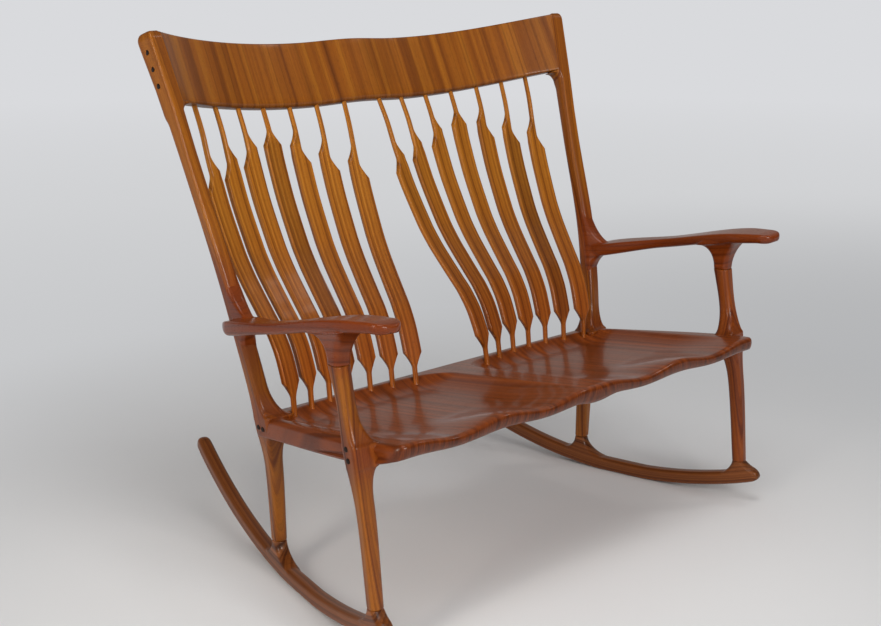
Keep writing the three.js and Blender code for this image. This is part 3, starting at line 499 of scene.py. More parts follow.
# Red-brown strips in a satin of oil: fine bands along the bend, with hair-thin dark glue lines
rocker_wood = oiled_hardwood(
    "bent_rocker_strips", "#98582a", "#81471d", "#683514", "#4b240e", 9, 3.5, 5, strip_mm=rocker_strip
)
dress_pair("rocker", carved(rocker, grit=1.8, rounds=9), rocker_grain, rocker_wood, "rocker")

# Legs. Front and back legs are sawn from thick golden planks and shaped with rasps: round-cornered
# below, swelling into shoulders over and under the seat. The back pair sweeps up to the crest,
# with a web carved under the crest and at the arm, and a hard line down the outer front edge.
seat_front, seat_rear, seat_thick = -45, 446, 44
rim_front, rim_rear = 427, 359
rim_slope = (rim_front - rim_rear) / (seat_rear - seat_front)
foot_up, rear_foot_up, arm_up, sweep_up, top_up = 103, 79, 563, 842.8, 1140
front_line = {
    "up": [foot_up, 279.7, 392.7, arm_up],
    "out": [578, 580, 583, 588],
    "back": [0, 20, 44, 83],
}
front_half = ([foot_up, 279.7, 414.7, 493.3, arm_up], [foot_half, 16.5, 18.5, 16.5, 18.5])
back_line = {
    "up": [rear_foot_up, 243.2, 339.6, arm_up, sweep_up, top_up],
    "out": [486, 493, 508, 538, 566, 600],
    "back": [424, 424, 427, 467, 560, 662],
}
back_half = (
    [rear_foot_up, 243.2, 361.6, arm_up, sweep_up, top_up],
    [foot_half, 17, 18.5, 18, 16.5, 17.5],
)
# The shoulders: their place behind the front feet, how far they stand out of the leg on each side
# and run along it, the share of that which is left under the seat, and the added slope there
shoulder_names = ("at", "left", "right", "down", "top", "tall", "under", "relief")
front_shoulder = dict(zip(shoulder_names, (44, 32, 1, 9, 2, 60, 0.6, 0.13)))
back_shoulder = dict(zip(shoulder_names, (427, 30, 1, 24, 2, 70, 0.75, 0)))
head_step, head_step_run, head_deep, head_round, head_drop = 955, 12, 5, 14, 7
head_turn, head_lean, head_swell = 0.2, 0.36, 3.5
head_turn_span, head_lean_span, head_swell_span = (760, 1010), (1020, 1120), (900, 1003)
end_ease, end_ease_run = 0.6, 2
outer_corner, line_corner, line_corner_high, joint_corner = 10, 8, 4.5, 1.5
line_span, joint_span = (600, 800), (985, 1000)


def rim(back):
    """The height of the seat's rim at a place behind the front feet."""
    return rim_front - rim_slope * (back - seat_front)


def line_at(line, up):
    return Vector((through(line["up"], line["out"], up), through(line["up"], line["back"], up), up))


def leg_turn(up):
    """A leg's foot is turned with its rocker, and its head a little to the crest's curve."""
    return toe_in * share_of(up, sweep_up, 0) - head_turn * share_of(up, *head_turn_span)


def leg_rings(line, half, shoulder, corners, deeper, shrink):
    """A leg's rings turn to the slope of the seat where they meet it. They lie closest at the eased
    foot and the rounded head."""
    over = rim(shoulder["at"])
    under = over - seat_thick
    foot, head = line["up"][0], line["up"][-1]
    ups = [foot, foot + end_ease, foot + end_ease_run]
    start, end = foot + 2 * end_ease_run, head - head_round - end_ease_run
    ups += [mixed(start, end, i / 150) for i in range(151)]
    ups += [head - head_round * (1 - math.sin(i * math.pi / 24)) for i in range(13)]
    rings = []
    for up in ups:
        away = max(up - over, under - up, 0) / shoulder["tall"]
        level = share_of(over - up, 0, seat_thick)
        swell = flank(away) * mixed(1, shoulder["under"], level)
        size = through(*half, up) - shrink(up)
        lean = head_lean * share_of(up, *head_lean_span)
        tilt = -(rim_slope + shoulder["relief"] * level) * max(1 - away, 0) - lean
        pairs = outline(
            size + shoulder["left"] * swell,
            size + shoulder["right"] * swell,
            size + shoulder["down"] * swell + head_swell * share_of(up, *head_swell_span),
            size + shoulder["top"] * swell + deeper(up),
            corners(up),
        )
        centre = line_at(line, up) - Vector((0, 0, lean * size))
        rings.append(ring(centre, *turned(leg_turn(up), tilt), pairs))
    return rings


def plank_grain(axis, spin, centre, pith):
    """Straight grain along an axis through a centre in metres, with the pith off to one side."""
    tilt = Vector((0, 0, 1)).rotation_difference(Vector(axis)).to_matrix()
    turn = np.array((tilt @ Matrix.Rotation(math.radians(spin), 3, "Z")).transposed())
    return lambda points: (points - np.array(centre)) @ turn.T + (pith[0], pith[1], 0)


def edge_round(from_end):
    """The legs' ends are eased by half a millimetre, so that the glue joint shows as a fine line."""
    return end_ease * flank(from_end / end_ease_run)


def near(points, height, reach):
    """How near points are to a height in metres, eased out to nothing at its reach."""
    share = np.clip(1 - np.abs(points[:, 2] - height) / reach, 0, 1)
    return share * share * (3 - 2 * share)


# A golden plank, rubbed smooth: broad bands from gold to red-brown along the leg
leg_wood = oiled_hardwood("rubbed_leg_plank", "#a7651c", "#915213", "#753b0d", "#54280c", 13, 5, 9)
front_leg = bmesh.new()
front_rings = leg_rings(
    front_line,
    front_half,
    front_shoulder,
    corners=lambda up: [leg_corner, leg_corner, leg_corner, outer_corner],
    deeper=lambda up: 0,
    shrink=lambda up: edge_round(up - foot_up) + edge_round(arm_up - up),
)
sleeve(front_leg, front_rings)
front_grain = plank_grain((0.012, 0.17, 0.98), 35, placed((583, 40, 350)), (0.05, 0.03))


def front_ripe(points):
    """Darker and redder at the seat and under the arm, and all over the right-hand leg as painted shade."""
    return np.clip(near(points, 0.4, 0.085) + near(points, 0.575, 0.05) + (points[:, 0] > 0), 0, 1)


dress_pair("front_leg", skin_of(front_leg), front_grain, leg_wood, "leg", ripe=front_ripe)


def back_corners(up):
    """The outer front edge turns hard over the arm, and both inner edges at the crest's end."""
    inner = mixed(leg_corner, joint_corner, share_of(up, *joint_span))
    hard_line = mixed(line_corner, line_corner_high, share_of(up, *line_span))
    return [outer_corner, inner, inner, hard_line]


back_leg = bmesh.new()
back_rings = leg_rings(
    back_line,
    back_half,
    back_shoulder,
    corners=back_corners,
    deeper=lambda up: head_deep * share_of(up, head_step, head_step + head_step_run),
    shrink=lambda up: edge_round(up - rear_foot_up) + head_drop * flank((top_up - up) / head_round),
)
sleeve(back_leg, back_rings)
# The small web in the corner under the crest's end
head_web = {"top": 1001, "tall": 38, "reach": 28, "outer": 8, "front": 13, "rear": 17, "round": 10}
web_across, web_back = Vector((1, 0, 0.22)), Vector((0, 1, -0.34))
web_step, web_inset = 1.3, 2
web_rings = []
for i in range(32):
    up = head_web["top"] - head_web["tall"] + i * web_step
    swell = head_web["reach"] * flank((head_web["top"] - up) / head_web["tall"])
    inner = through(*back_half, up) + swell - web_inset
    pairs = outline(inner, head_web["outer"], head_web["front"], head_web["rear"], [head_web["round"]] * 4)
    web_rings.append(ring(line_at(back_line, up), web_across, web_back, pairs))
sleeve(back_leg, web_rings)
back_middle, back_pith = placed((500, 430, 300)), (0.04, 0.05)
back_grain_low = plank_grain((0.1, 0.1, 0.98), 60, back_middle, back_pith)
back_grain_high = plank_grain((0.11, 0.33, 0.94), 60, back_middle, back_pith)


def back_grain(points):
    """The plank was sawn along the leg's lean, and the foot of it follows the post below the seat."""
    share = np.clip((points[:, 2:] - 0.3) / 0.5, 0, 1)
    return back_grain_low(points) * (1 - share) + back_grain_high(points) * share


def back_ripe(points):
    # Darker and redder round the seat and round the arm's heel
    return np.clip(near(points, 0.36, 0.09) + 1.3 * near(points, 0.585, 0.17), 0, 1)


dress_pair("back_leg", carved(back_leg, grit=1.7, rounds=3), back_grain, leg_wood, "leg", ripe=back_ripe)

# Seat. Eight thick boards, glued edge to edge with the grain from front to back, are hollowed
# with a disc and scrapers into two bowls that run out at the front as thigh channels. A pommel
# stays up between the channels, the rear ledge stays flat for the braces, and the front edge is
# left fairly crisp, with the darker end grain below it.
horn_out, waist_out, rear_out = 551, 565, 526
seat_nose, horn_round = 11, 22
hollow_out, hollow_half, hollow_rim, hollow_deep = 275, 242, 92, 24
hollow_rear, hollow_bow, hollow_rear_rim = 404, 24, 66
hollow_corner, hollow_roundness = 2.4, 2.2
side_round, side_under, rear_round = 15, 6, 20
channel_back, channel_deep = 150, 14
relief_reach, relief_rise = 110, 17
lip_deep, lip_half = 10, 75
seams, hairline = [0, 141.5, 255.5, 369.5], 0.02
board_middles, board_pith = [70, 57, 57, 57], (0.13, 0.03)


def side_out(back):
    places = [seat_front, front_shoulder["at"], back_shoulder["at"]]
    return through(places, [horn_out, waist_out, rear_out], back)


def hollow_across(out):
    return abs(abs(out) - hollow_out) / hollow_half


def channel(out):
    return math.sin(math.pi * min(hollow_across(out), 1)) ** 2


def carving(out, back):
    """How deep the seat is cut below its rim: a bowl behind, two channels in front."""
    bowed = hollow_rear + hollow_bow * (1 - hollow_across(out) ** 2)
    sides = share_of((1 - hollow_across(out)) * hollow_half, 0, hollow_rim)
    rear = share_of(bowed - back, 0, hollow_rear_rim)
    from_floor = ((1 - sides) ** hollow_corner + (1 - rear) ** hollow_corner) ** (1 / hollow_corner)
    bowl = 1 - min(from_floor, 1) ** hollow_roundness
    run = share_of(back, channel_back, seat_front)
    to_front = run * run * (3 - 2 * run)
    return mixed(hollow_deep * bowl, channel_deep * channel(out), to_front)


def seat_top(out, back):
    return rim(back) - carving(out, back)


def seat_under(out, back):
    run = share_of(relief_reach + seat_front - back, 0, relief_reach)
    lip = lip_deep * math.cos(math.pi / 2 * min(abs(out) / lip_half, 1)) ** 2
    relief = (relief_rise - channel_deep / 2 * channel(out) - lip) * run * run
    return rim(back) - seat_thick + relief


# The nose from the top to the underside: its set-back, and its height over the underside
nose_shares = [
    (0.62, 0.985),
    (0.28, 0.93),
    (0.09, 0.83),
    (0, 0.68),
    (0.03, 0.5),
    (0.16, 0.28),
    (0.48, 0.08),
]
# The rounding of the rear edge: how far in, and how far down
rear_edge, rear_edge_reach = [(0, 4), (0.5, 2.2), (1.6, 0.8)], 4


def seat_slice(inner, outer, share, is_last):
    """One board's outline from back to front and back again, at a share of the way across it."""
    edge = (1 - share) * (outer(front_shoulder["at"]) - inner)
    rounding = lambda size: size * flank(edge / size) if is_last else 0
    squeeze, lifted = rounding(side_round), rounding(side_under)
    front, rear = seat_front + rounding(horn_round), seat_rear - rounding(rear_round)
    across = lambda back: mixed(inner, outer(back), share)

    def top(back, drop=0):
        return Vector((across(back), back, seat_top(across(back), back) - squeeze - drop))

    def under(back, lift=0):
        return Vector((across(back), back, seat_under(across(back), back) + lifted + lift))

    nose_top, nose_under = top(front + seat_nose), under(front + seat_nose)
    backs = [mixed(front + seat_nose, rear - rear_edge_reach, i / 110) for i in range(111)]
    points = [top(rear - inset, drop) for inset, drop in rear_edge]
    points += [top(back) for back in reversed(backs)]
    for inset, height in nose_shares:
        back = front + seat_nose * inset
        points.append(Vector((across(back), back, mixed(nose_under.z, nose_top.z, height))))
    points += [under(back) for back in backs[::4]]
    points += [under(rear - inset, lift) for inset, lift in reversed(rear_edge)]
    return points


# Scraped and well oiled red-brown boards: quiet grain under the strongest gloss of the bench
seat_wood = oiled_hardwood(
    "scraped_seat_boards", "#8b4317", "#7b3912", "#6c300f", "#58270c", 19, 8, 12, rough=0.33, coat=0.28
)
for number, seam in enumerate(seams):
    is_last = number == len(seams) - 1
    outer = side_out if is_last else lambda back, after=number: seams[after + 1] - hairline
    steps = 34
    shares = [i / steps for i in range(steps + 1)]
    if is_last:
        # The slices draw together at the rounded side
        shares = [1 - (1 - share) ** 1.7 for share in shares]
    board = bmesh.new()
    sleeve(board, [seat_slice(seam + hairline, outer, share, is_last) for share in shares])

    # Each board lies a little differently over the pith of its tree
    middle = seam + board_middles[number]
    lift = board_pith[1] + 0.014 * math.sin(5 * number + 1)
    sideways = board_pith[0] + 0.03 * math.sin(3 * number + 2)
    board_grain = lambda p, m=middle, h=lift, s=sideways: np.stack(
        [p[:, 0] - m / 1000 + s, p[:, 2] - 0.39 + h, p[:, 1]], 1
    )
    joins = [0, *seams[number : number + 2]]
    off_joins = lambda p, joins=joins: np.min([np.abs(np.abs(p[:, 0]) * 1000 - j) > 1 for j in joins], 0)
    dress_pair(f"seat_board_{number + 1}", skin_of(board), board_grain, seat_wood, "seat", bare=off_joins)

# Arms. A wide pad carries the elbow over the front leg, narrows to a waist and grows deep where
# it is notched round the back leg. A trumpet-shaped block under the pad meets the front leg. The
# top is scraped flat with fairly crisp edges, and the underside is round.
arm_backs = [-32, 34, 261.7, 420, 464]
arm_shape = {
    "out": [583, 588, 598, 566, 555],
    "half": [35, 42, 25, 40, 30],
    "up": [668, 661, 610.3, 580, 568],
    "thick": [22, 24, 23, 31, 18],
}
arm_tip, arm_end, arm_end_run, arm_step = -64, 475, 25, 4
arm_roll, arm_corners = 0.05, [5, 5, 11, 11]
# The rounding of the front end and of the heel, by runs along the arm: shares of width and of depth
tip_wide_shares = (
    [0, 0.6, 2, 4, 8, 13, 19, 26, 32],
    [0.22, 0.3, 0.42, 0.54, 0.7, 0.83, 0.93, 0.985, 1],
)
tip_deep_shares = ([0, 2, 4, 8, 13, 32], [0.36, 0.56, 0.7, 0.86, 0.95, 1])
end_wide_shares = ([0, 12, 20, 24, 25], [1, 0.9, 0.7, 0.42, 0.25])
end_deep_shares = ([0, 12, 20, 24, 25], [1, 0.94, 0.75, 0.45, 0.25])


def arm_at(name, back):
    return through(arm_backs, arm_shape[name], min(max(back, arm_backs[0]), arm_backs[-1]))


def arm_ring(back, wide, thick_share):
    half, thick = arm_at("half", back) * wide, arm_at("thick", back)
    spare = thick * (1 - thick_share) / 2
    pairs = outline(half, half, thick - spare, -spare, arm_corners)
    centre = Vector((arm_at("out", back), back, arm_at("up", back)))
    return ring(centre, Vector((1, 0, arm_roll)), Vector((0, 0, 1)), pairs)


def arm_under(back):
    return arm_at("up", back) - arm_at("thick", back)


arm = bmesh.new()
arm_rings = [
    arm_ring(arm_tip + run, through(*tip_wide_shares, run), through(*tip_deep_shares, run))
    for run in (0, 0.3, 0.8, 1.4, 2, 3, 4, 6, 8, 10, 13, 16, 19, 22, 25, 28)
]
arm_rings += [arm_ring(arm_backs[0] + i * arm_step, 1, 1) for i in range(121)]
arm_rings += [
    arm_ring(arm_end - arm_end_run + run, through(*end_wide_shares, run), through(*end_deep_shares, run))
    for run in (4, 8, 12, 16, 19, 21, 23, 24, 25)
]
sleeve(arm, arm_rings)
# The trumpet starts with the front leg's section, over the glue line, and ends inside the pad
trumpet_out, trumpet_back, trumpet_reach = front_line["out"][-1], front_line["back"][-1], 42
trumpet_up, trumpet_side, trumpet_tuck = arm_up + glue_line, 20, 8
pad_fall = arm_under(trumpet_back + trumpet_reach) - arm_under(trumpet_back - trumpet_reach)
sleeve(
    arm,
    trumpet(
        Vector((trumpet_out, trumpet_back, trumpet_up)),
        half=front_half[1][-1],
        turn=share_of(arm_up, sweep_up, 0),
        rise=arm_under(trumpet_back) - trumpet_up,
        slope=pad_fall / (2 * trumpet_reach),
        side=trumpet_side,
        front=trumpet_reach,
        rear=trumpet_reach,
        tuck=trumpet_tuck,
    ),
)
# The web in the corners between the arm and the back leg runs out along the leg's front
heel_low, heel_high, heel_slope, heel_shift = 553, 567, -0.13, 24
heel_web = {"over": 92, "under": 54, "reach": 66, "buried": 3}
heel_corners, heel_under, heel_proud = [5, 5, leg_corner, 8], 0.6, 0.2
heel_rings = []
for i in range(81):
    up = mixed(heel_low - heel_web["under"], heel_high + heel_web["over"], i / 80)
    gap = max((up - heel_high) / heel_web["over"], (heel_low - up) / heel_web["under"], 0)
    reach = (heel_web["reach"] + heel_web["buried"]) * flank(gap) - heel_web["buried"]
    shown = share_of(reach, -heel_web["buried"], heel_web["buried"])
    half = through(*back_half, up) - heel_under + (heel_under + heel_proud) * shown
    far_out = half + heel_web["reach"]
    pairs = [
        (a + heel_shift * share_of(-b, half - 4, far_out) * share_of(half - a, 0, 2 * half), b)
        for a, b in outline(half, half, half + reach, 0, heel_corners)
    ]
    heel_rings.append(ring(line_at(back_line, up), *turned(leg_turn(up), heel_slope), pairs))
sleeve(arm, heel_rings)
# A darker red-brown plank, worn smooth by hands: an even tone, with faint grain along the arm
arm_wood = oiled_hardwood(
    "scraped_arm_plank", "#823b13", "#7a350f", "#72300d", "#66290b", 18, 9, 9, rough=0.31, coat=0.22
)
arm_grain = plank_grain((-0.02, 0.98, -0.16), 0, placed((588, 200, 640)), (0.02, 0.06))
dress_pair("arm", carved(arm, grit=1.6, rounds=12), arm_grain, arm_wood, "arm", open_ends=0.2)

# Crest rail. Upright staves are glued side by side, sawn to the double curve and faired, so gold
# and red-brown bands run up its face, which leans back and is hollowed twice, once for each seat.
crest_hollow_out, crest_hollow_back, crest_deep = 150, 721.8, 90
crest_low, crest_high = 955, 1093
crest_end_out = 574.6
crest_front, crest_thick, crest_end_thick, crest_end_flush = 12.5, 28, 37, 21
crest_ridge_back, crest_ridge_up, crest_foot_rise, crest_top_rise = 10, 5, 48, 47
crest_lean, crest_end_lean = 0.42, 0.34
crest_corners, crest_front_low, crest_pith = (5, 4, 7), (12, 4), 0.9


def crest_run(out):
    return share_of(abs(out), crest_hollow_out, crest_end_out)


def crest_ridge(out):
    return math.cos(math.pi / 2 * min(abs(out) / crest_hollow_out, 1)) ** 2


def crest_foot(out):
    """The middle of the rail's lower edge, as places back and up."""
    run, ridge = crest_run(out) ** 2, crest_ridge(out)
    back = crest_hollow_back - crest_deep * run - crest_ridge_back * ridge
    return back, crest_low + crest_foot_rise * run + crest_ridge_up * ridge


def crest_slice(side):
    out = crest_end_out * side
    back, low = crest_foot(out)
    run = crest_run(out)
    high = crest_high + crest_top_rise * run**2 + crest_ridge_up * crest_ridge(out)
    lean = Vector((0, mixed(crest_lean, crest_end_lean, run), 1))
    inwards = Vector((0, 1, -lean.y)).normalized()
    front = Vector((0, back - crest_front - crest_end_flush * run**6, low))
    thick = mixed(crest_thick, crest_end_thick, run**4)
    rear_top, front_top, rear_low = crest_corners
    corners = [rear_top, front_top, mixed(*crest_front_low, run**3), rear_low]
    points = ring(front, inwards, lean, outline(0, thick, 0, high - low, corners))
    for point in points:
        inner = line_at(back_line, point.z).x - through(*back_half, point.z) - glue_line
        point.x = side * inner
    return points


crest = bmesh.new()
sleeve(crest, [crest_slice(i / 80) for i in range(-80, 81)])
# Golden and red-brown staves: broad upright bands under a soft gloss
crest_wood = oiled_hardwood("staved_crest", "#9b5d18", "#8e5013", "#814610", "#6d390e", 34, 9, 12)


def crest_grain(points):
    """Upright grain: along the rail, through it and up its leaning face, with staves a little askew."""
    upright, leaning, askew = 0.92, 0.38, 0.06
    up = points[:, 2] * upright + points[:, 1] * leaning
    through_rail = points[:, 1] * upright - points[:, 2] * leaning
    along = points[:, 0] + askew * points[:, 2]
    return np.stack([along + crest_pith, through_rail, up], 1)


dress("oiled_crest_rail", skin_of(crest), crest_grain, crest_wood, "crest", "crest_rail")

# Back braces. Each is glued up from thin strips bent in an S to fit a back, then shaped: a round
# tail in the seat, a broad flat blade with shoulders cut at a slant, and a round neck in the crest.
brace_count = 7
brace_seat_pitch, brace_seat_first = 57, 113
brace_crest_pitch, brace_crest_first, brace_crest_bow = 74.44, 53, 12
brace_seat_back, brace_bow, bow_skew = 400, 27, 1.6
tail_half, neck_half, blade_half, blade_thick = 5.8, 5.6, 22, 6.5
blade_round, tail_round, brace_pith = 3.2, 5.6, (70, 18)
flare_hollow, rounding_span = 1.5, (6, 12)
# Shares of a brace's length: its blade's ends, how far the arch of the row and the slanting cut
# shift the upper end, and how long the flare past a shoulder is
blade_low, blade_high, blade_arch, blade_step, blade_flare = 0.112, 0.136, 0.118, 0.066, 0.055
buried_share = 0.03
# The S: how far a brace sways to the back, as shares of the deepest sway, at shares of its length
sway_deep = 27
sway_at_shares = [0, 0.07, 0.14, 0.21, 0.27, 0.33, 0.39, 0.45, 0.52, 0.65, 0.79, 0.93, 1]
sway_shares = [0, -0.56, -0.86, -1, -0.86, -0.44, 0, 0.38, 0.62, 0.7, 0.48, 0.05, 0]
# Pale gold strips, glued and shaped: fine stripes up the blade, and dark hairlines between them
brace_wood = oiled_hardwood(
    "bent_brace_strips", "#c67f2a", "#b26d1d", "#965614", "#6b3a0f", 11, 6, 4, strip_mm=3.2
)


def blade_edge(share, top):
    """A blade's edge from its middle: a crisp shoulder at each end, with a hollow flare beyond it."""
    past = max(blade_low - share, share - top, 0)
    narrow = tail_half if share < blade_low else neck_half
    return mixed(narrow, blade_half, max(1 - past / blade_flare, 0) ** flare_hollow)


for number in range(brace_count):
    middle = (number - brace_count // 2) / (brace_count // 2)
    seat_out = brace_seat_first + brace_seat_pitch * number
    seat_back = brace_seat_back + brace_bow * (1 - middle**2)
    low = Vector((seat_out, seat_back, seat_top(seat_out, seat_back)))
    bulge = math.sin(math.pi * (number / (brace_count - 1)) ** bow_skew)
    crest_out = brace_crest_first + brace_crest_pitch * number + brace_crest_bow * bulge
    high = Vector((crest_out, *crest_foot(crest_out)))
    run = high - low
    level = Vector((run.x, run.y, 0)).normalized()
    across = Vector((level.y, -level.x, 0))

    # The upper shoulders are cut at a slant, which falls away from the middle brace
    top = 1 - blade_high - blade_arch * abs(middle)
    slant = blade_step / 2 * ((middle < 0) - (middle > 0))
    tops = (top + slant, top - slant)
    shares = [-buried_share, 0.0, buried_share]
    shares += [blade_low - blade_flare * (1 - i / 14) for i in range(15)]
    for start, end, steps in (
        (blade_low, min(tops), 60),
        (min(tops), max(tops) + blade_flare, 34),
        (max(tops) + blade_flare, 1 + buried_share, 8),
    ):
        shares += [mixed(start, end, (i + 1) / steps) for i in range(steps)]
    rings = []
    for share in shares:
        halves = [blade_edge(share, top) for top in tops]
        thicks = [tail_half, blade_thick, blade_thick, neck_half]
        thick = through([0, blade_low, min(tops), 1], thicks, share)
        centre = low + run * share + level * sway_deep * through(sway_at_shares, sway_shares, share)
        corner = mixed(tail_round, blade_round, share_of(min(halves), *rounding_span))
        pairs = outline(halves[1], halves[0], thick, thick, [corner] * 4, turns=4)
        rings.append(ring(centre, across, level, pairs))
    brace = bmesh.new()
    sleeve(brace, rings)
    table = np.linspace(0, 1, 201)
    sways = [sway_deep * through(sway_at_shares, sway_shares, share) for share in table]

    def brace_grain(points, low=low, run=run, level=level, across=across, sways=sways):
        """The strips follow the bend: across the blade, through the strips and along them."""
        bench = measured(points) - np.array(low)
        share = bench[:, 2] / run.z
        through_strips = bench @ np.array(level) - np.interp(share, table, sways) - share * (run @ level)
        over_blade = bench @ np.array(across) + brace_pith[0]
        return np.stack([over_blade, through_strips + brace_pith[1], share * run.length], 1) / 1000

    def brace_ripe(points):
        """The braces darken towards the seat."""
        return np.clip((0.75 - points[:, 2]) / 0.3, 0, 1)

    dress_pair(f"brace_{number + 1}", skin_of(brace), brace_grain, brace_wood, "brace", ripe=brace_ripe)

# Plugs. Short dowels of near-black hardwood are glued in over the screws, pared off and sanded to
# a slight dome. They show polished end grain, with a hairline of glue round each.
plug_radius, plug_proud, plug_deep, plug_ease = 0.0055, 0.0006, 0.006, 0.0009


def speckled(tree, per_metre, detail, stops):
    """Specks or streaks fixed in a piece, so many to the metre each way, and their colour."""
    at = node(tree, "ShaderNodeTexCoord", gives="Object")
    fine = node(tree, "ShaderNodeMapping", {"Vector": at, "Scale": per_metre})
    specks = node(tree, "ShaderNodeTexNoise", {"Vector": fine, "Scale": 1, "Detail": detail})
    tones = [(place, linear(code)) for place, code in stops]
    return specks, node(tree, "ShaderNodeValToRGB", {"Fac": specks}, tones)


plug_wood = bpy.data.materials.new("polished_plug_end_grain")
tree = fresh(plug_wood)
# Pores in end grain, about 0.7 mm apart, give fine dark and brown specks under a soft gloss
plug_tones = [(0.3, "#0e0806"), (0.55, "#20120c"), (0.75, "#382013")]
specks, speck_tone = speckled(tree, (1400, 1400, 1400), 2, plug_tones)
speck_gloss = node(
    tree,
    "ShaderNodeMapRange",
    {"Value": specks, "From Min": 0.3, "From Max": 0.7, "To Min": 0.42, "To Max": 0.28},
)
plug_bump = node(tree, "ShaderNodeBump", {"Height": specks, "Strength": 0.2, "Distance": 0.0002})
plug_surface = node(
    tree,
    "ShaderNodeBsdfPrincipled",
    {"Base Color": speck_tone, "Roughness": speck_gloss, "Specular IOR Level": 0.15, "Normal": plug_bump},
)
node(tree, "ShaderNodeOutputMaterial", {"Surface": plug_surface})
for side, (joint, count) in itertools.product(
    ("right", "left"), [("rear", 2), ("front", 2), ("crest", 3)]
):
    for name in [f"plug_{joint}_{i + 1}_{side}" for i in range(count)]:
        low_corner, high_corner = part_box(name)
        hand, face = (1, high_corner.x) if side == "right" else (-1, low_corner.x)
        centre = (low_corner + high_corner) / 2
        plug = bmesh.new()
        bmesh.ops.create_circle(plug, cap_ends=True, segments=28, radius=plug_radius)
        bmesh.ops.rotate(plug, verts=plug.verts, matrix=Matrix.Rotation(hand * math.pi / 2, 3, "Y"))
        bmesh.ops.translate(plug, verts=plug.verts, vec=(face - hand * plug_deep, centre.y, centre.z))
        grown = bmesh.ops.extrude_face_region(plug, geom=plug.faces[:])["geom"]
        crown = [v for v in grown if isinstance(v, bmesh.types.BMVert)]
        bmesh.ops.translate(plug, verts=crown, vec=(hand * (plug_deep + plug_proud), 0, 0))
        rim_edges = [e for e in plug.edges if all(v in crown for v in e.verts)]
        bmesh.ops.bevel(
            plug, geom=rim_edges, offset=plug_ease, segments=3, profile=0.5, affect="EDGES", material=-1
        )
        bmesh.ops.recalc_face_normals(plug, faces=plug.faces)
        piece = put(f"domed_{name}", skin_of(plug))
        piece.data.materials.append(plug_wood)
        piece.data.shade_smooth()
        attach(piece, "root")
        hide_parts(name)

# Hidden fixings. Dowels of plain pale hardwood join the legs to the rockers and arms, and zinc
# plated screws behind the plugs hold the seat. They keep the frame's own shapes.
dowel_wood = bpy.data.materials.new("turned_pale_dowel")
tree = fresh(dowel_wood)
# Fibres 1.1 mm wide and 33 mm long give the dowels fine pale streaks
fibres, fibre_tone = speckled(tree, (900, 900, 30), 3, [(0.3, "#a9824f"), (0.7, "#d8b681")])
dowel_bump = node(tree, "ShaderNodeBump", {"Height": fibres, "Strength": 0.3, "Distance": 0.0003})
dowel_surface = node(
    tree, "ShaderNodeBsdfPrincipled", {"Base Color": fibre_tone, "Roughness": 0.6, "Normal": dowel_bump}
)
node(tree, "ShaderNodeOutputMaterial", {"Surface": dowel_surface})

screw_zinc = bpy.data.materials.new("zinc_plated_screw")
tree = fresh(screw_zinc)
# Zinc blooms in patches about 4 mm wide, which turn the bright metal cloudy
bloom, bloom_tone = speckled(tree, (260, 260, 260), 4, [(0.35, "#8f9092"), (0.7, "#c4c5c4")])
bloom_dull = node(
    tree,
    "ShaderNodeMapRange",
    {"Value": bloom, "From Min": 0.3, "From Max": 0.7, "To Min": 0.28, "To Max": 0.45},
)
zinc_surface = node(
    tree, "ShaderNodeBsdfPrincipled", {"Base Color": bloom_tone, "Roughness": bloom_dull, "Metallic": 1.0}
)
node(tree, "ShaderNodeOutputMaterial", {"Surface": zinc_surface})
for name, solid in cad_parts.items():
    if name.startswith(("dowel_", "screw_")):
        for material_slot in solid.material_slots:
            material_slot.material = dowel_wood if name.startswith("dowel_") else screw_zinc

# Studio. A pale paper floor that takes the bench's shadow and runs out into a pale backdrop, which has a
# soft painted shadow at the right.
# A narrow soft lamp stands at the left, a broad one in front and a small one high at the right, a
# large one hangs from the ceiling, and the room round them is pale.
floor_mesh = bmesh.new()
bmesh.ops.create_circle(floor_mesh, cap_ends=True, segments=96, radius=60)
floor = put("studio_floor", skin_of(floor_mesh))
floor_paper = bpy.data.materials.new("pale_floor_paper")
tree = fresh(floor_paper)
# Matt paper, with faint clouds about a metre wide, so that it isn't dead flat to the eye
paper_tone = speckled(tree, (0.9, 0.9, 0.9), 2, [(0.3, "#e6e8eb"), (0.7, "#e9ebee")])[1]
paper_surface = node(
    tree,
    "ShaderNodeBsdfPrincipled",
    {"Base Color": paper_tone, "Roughness": 0.9, "Specular IOR Level": 0.1},
)
# The backdrop brightens with the distance from the bench, and a soft painted shadow makes it a little
# dimmer at the right
at = node(tree, "ShaderNodeTexCoord", gives="Object")
from_painted_shadow = node(
    tree, "ShaderNodeVectorMath", {0: at, 1: (2.3, -0.2, 0)}, operation="DISTANCE", gives="Value"
)
painted_shadow_dim = node(
    tree,
    "ShaderNodeMapRange",
    {"Value": from_painted_shadow, "From Min": 0.4, "From Max": 3.4, "To Min": 0.8, "To Max": 1},
    interpolation_type="SMOOTHSTEP",
)
away = node(tree, "ShaderNodeVectorMath", {0: at}, operation="LENGTH", gives="Value")
tens = node(tree, "ShaderNodeMath", {0: away, 1: 0.1}, operation="MULTIPLY")
backdrop_stops = [(0.08, "#c2c2c3"), (0.2, "#c8c9cb"), (0.45, "#d0d1d3"), (1, "#d9dadd")]
backdrop_tone = node(
    tree, "ShaderNodeValToRGB", {"Fac": tens}, [(place, linear(code)) for place, code in backdrop_stops]
)
backdrop = node(tree, "ShaderNodeEmission", {"Color": backdrop_tone, "Strength": painted_shadow_dim})
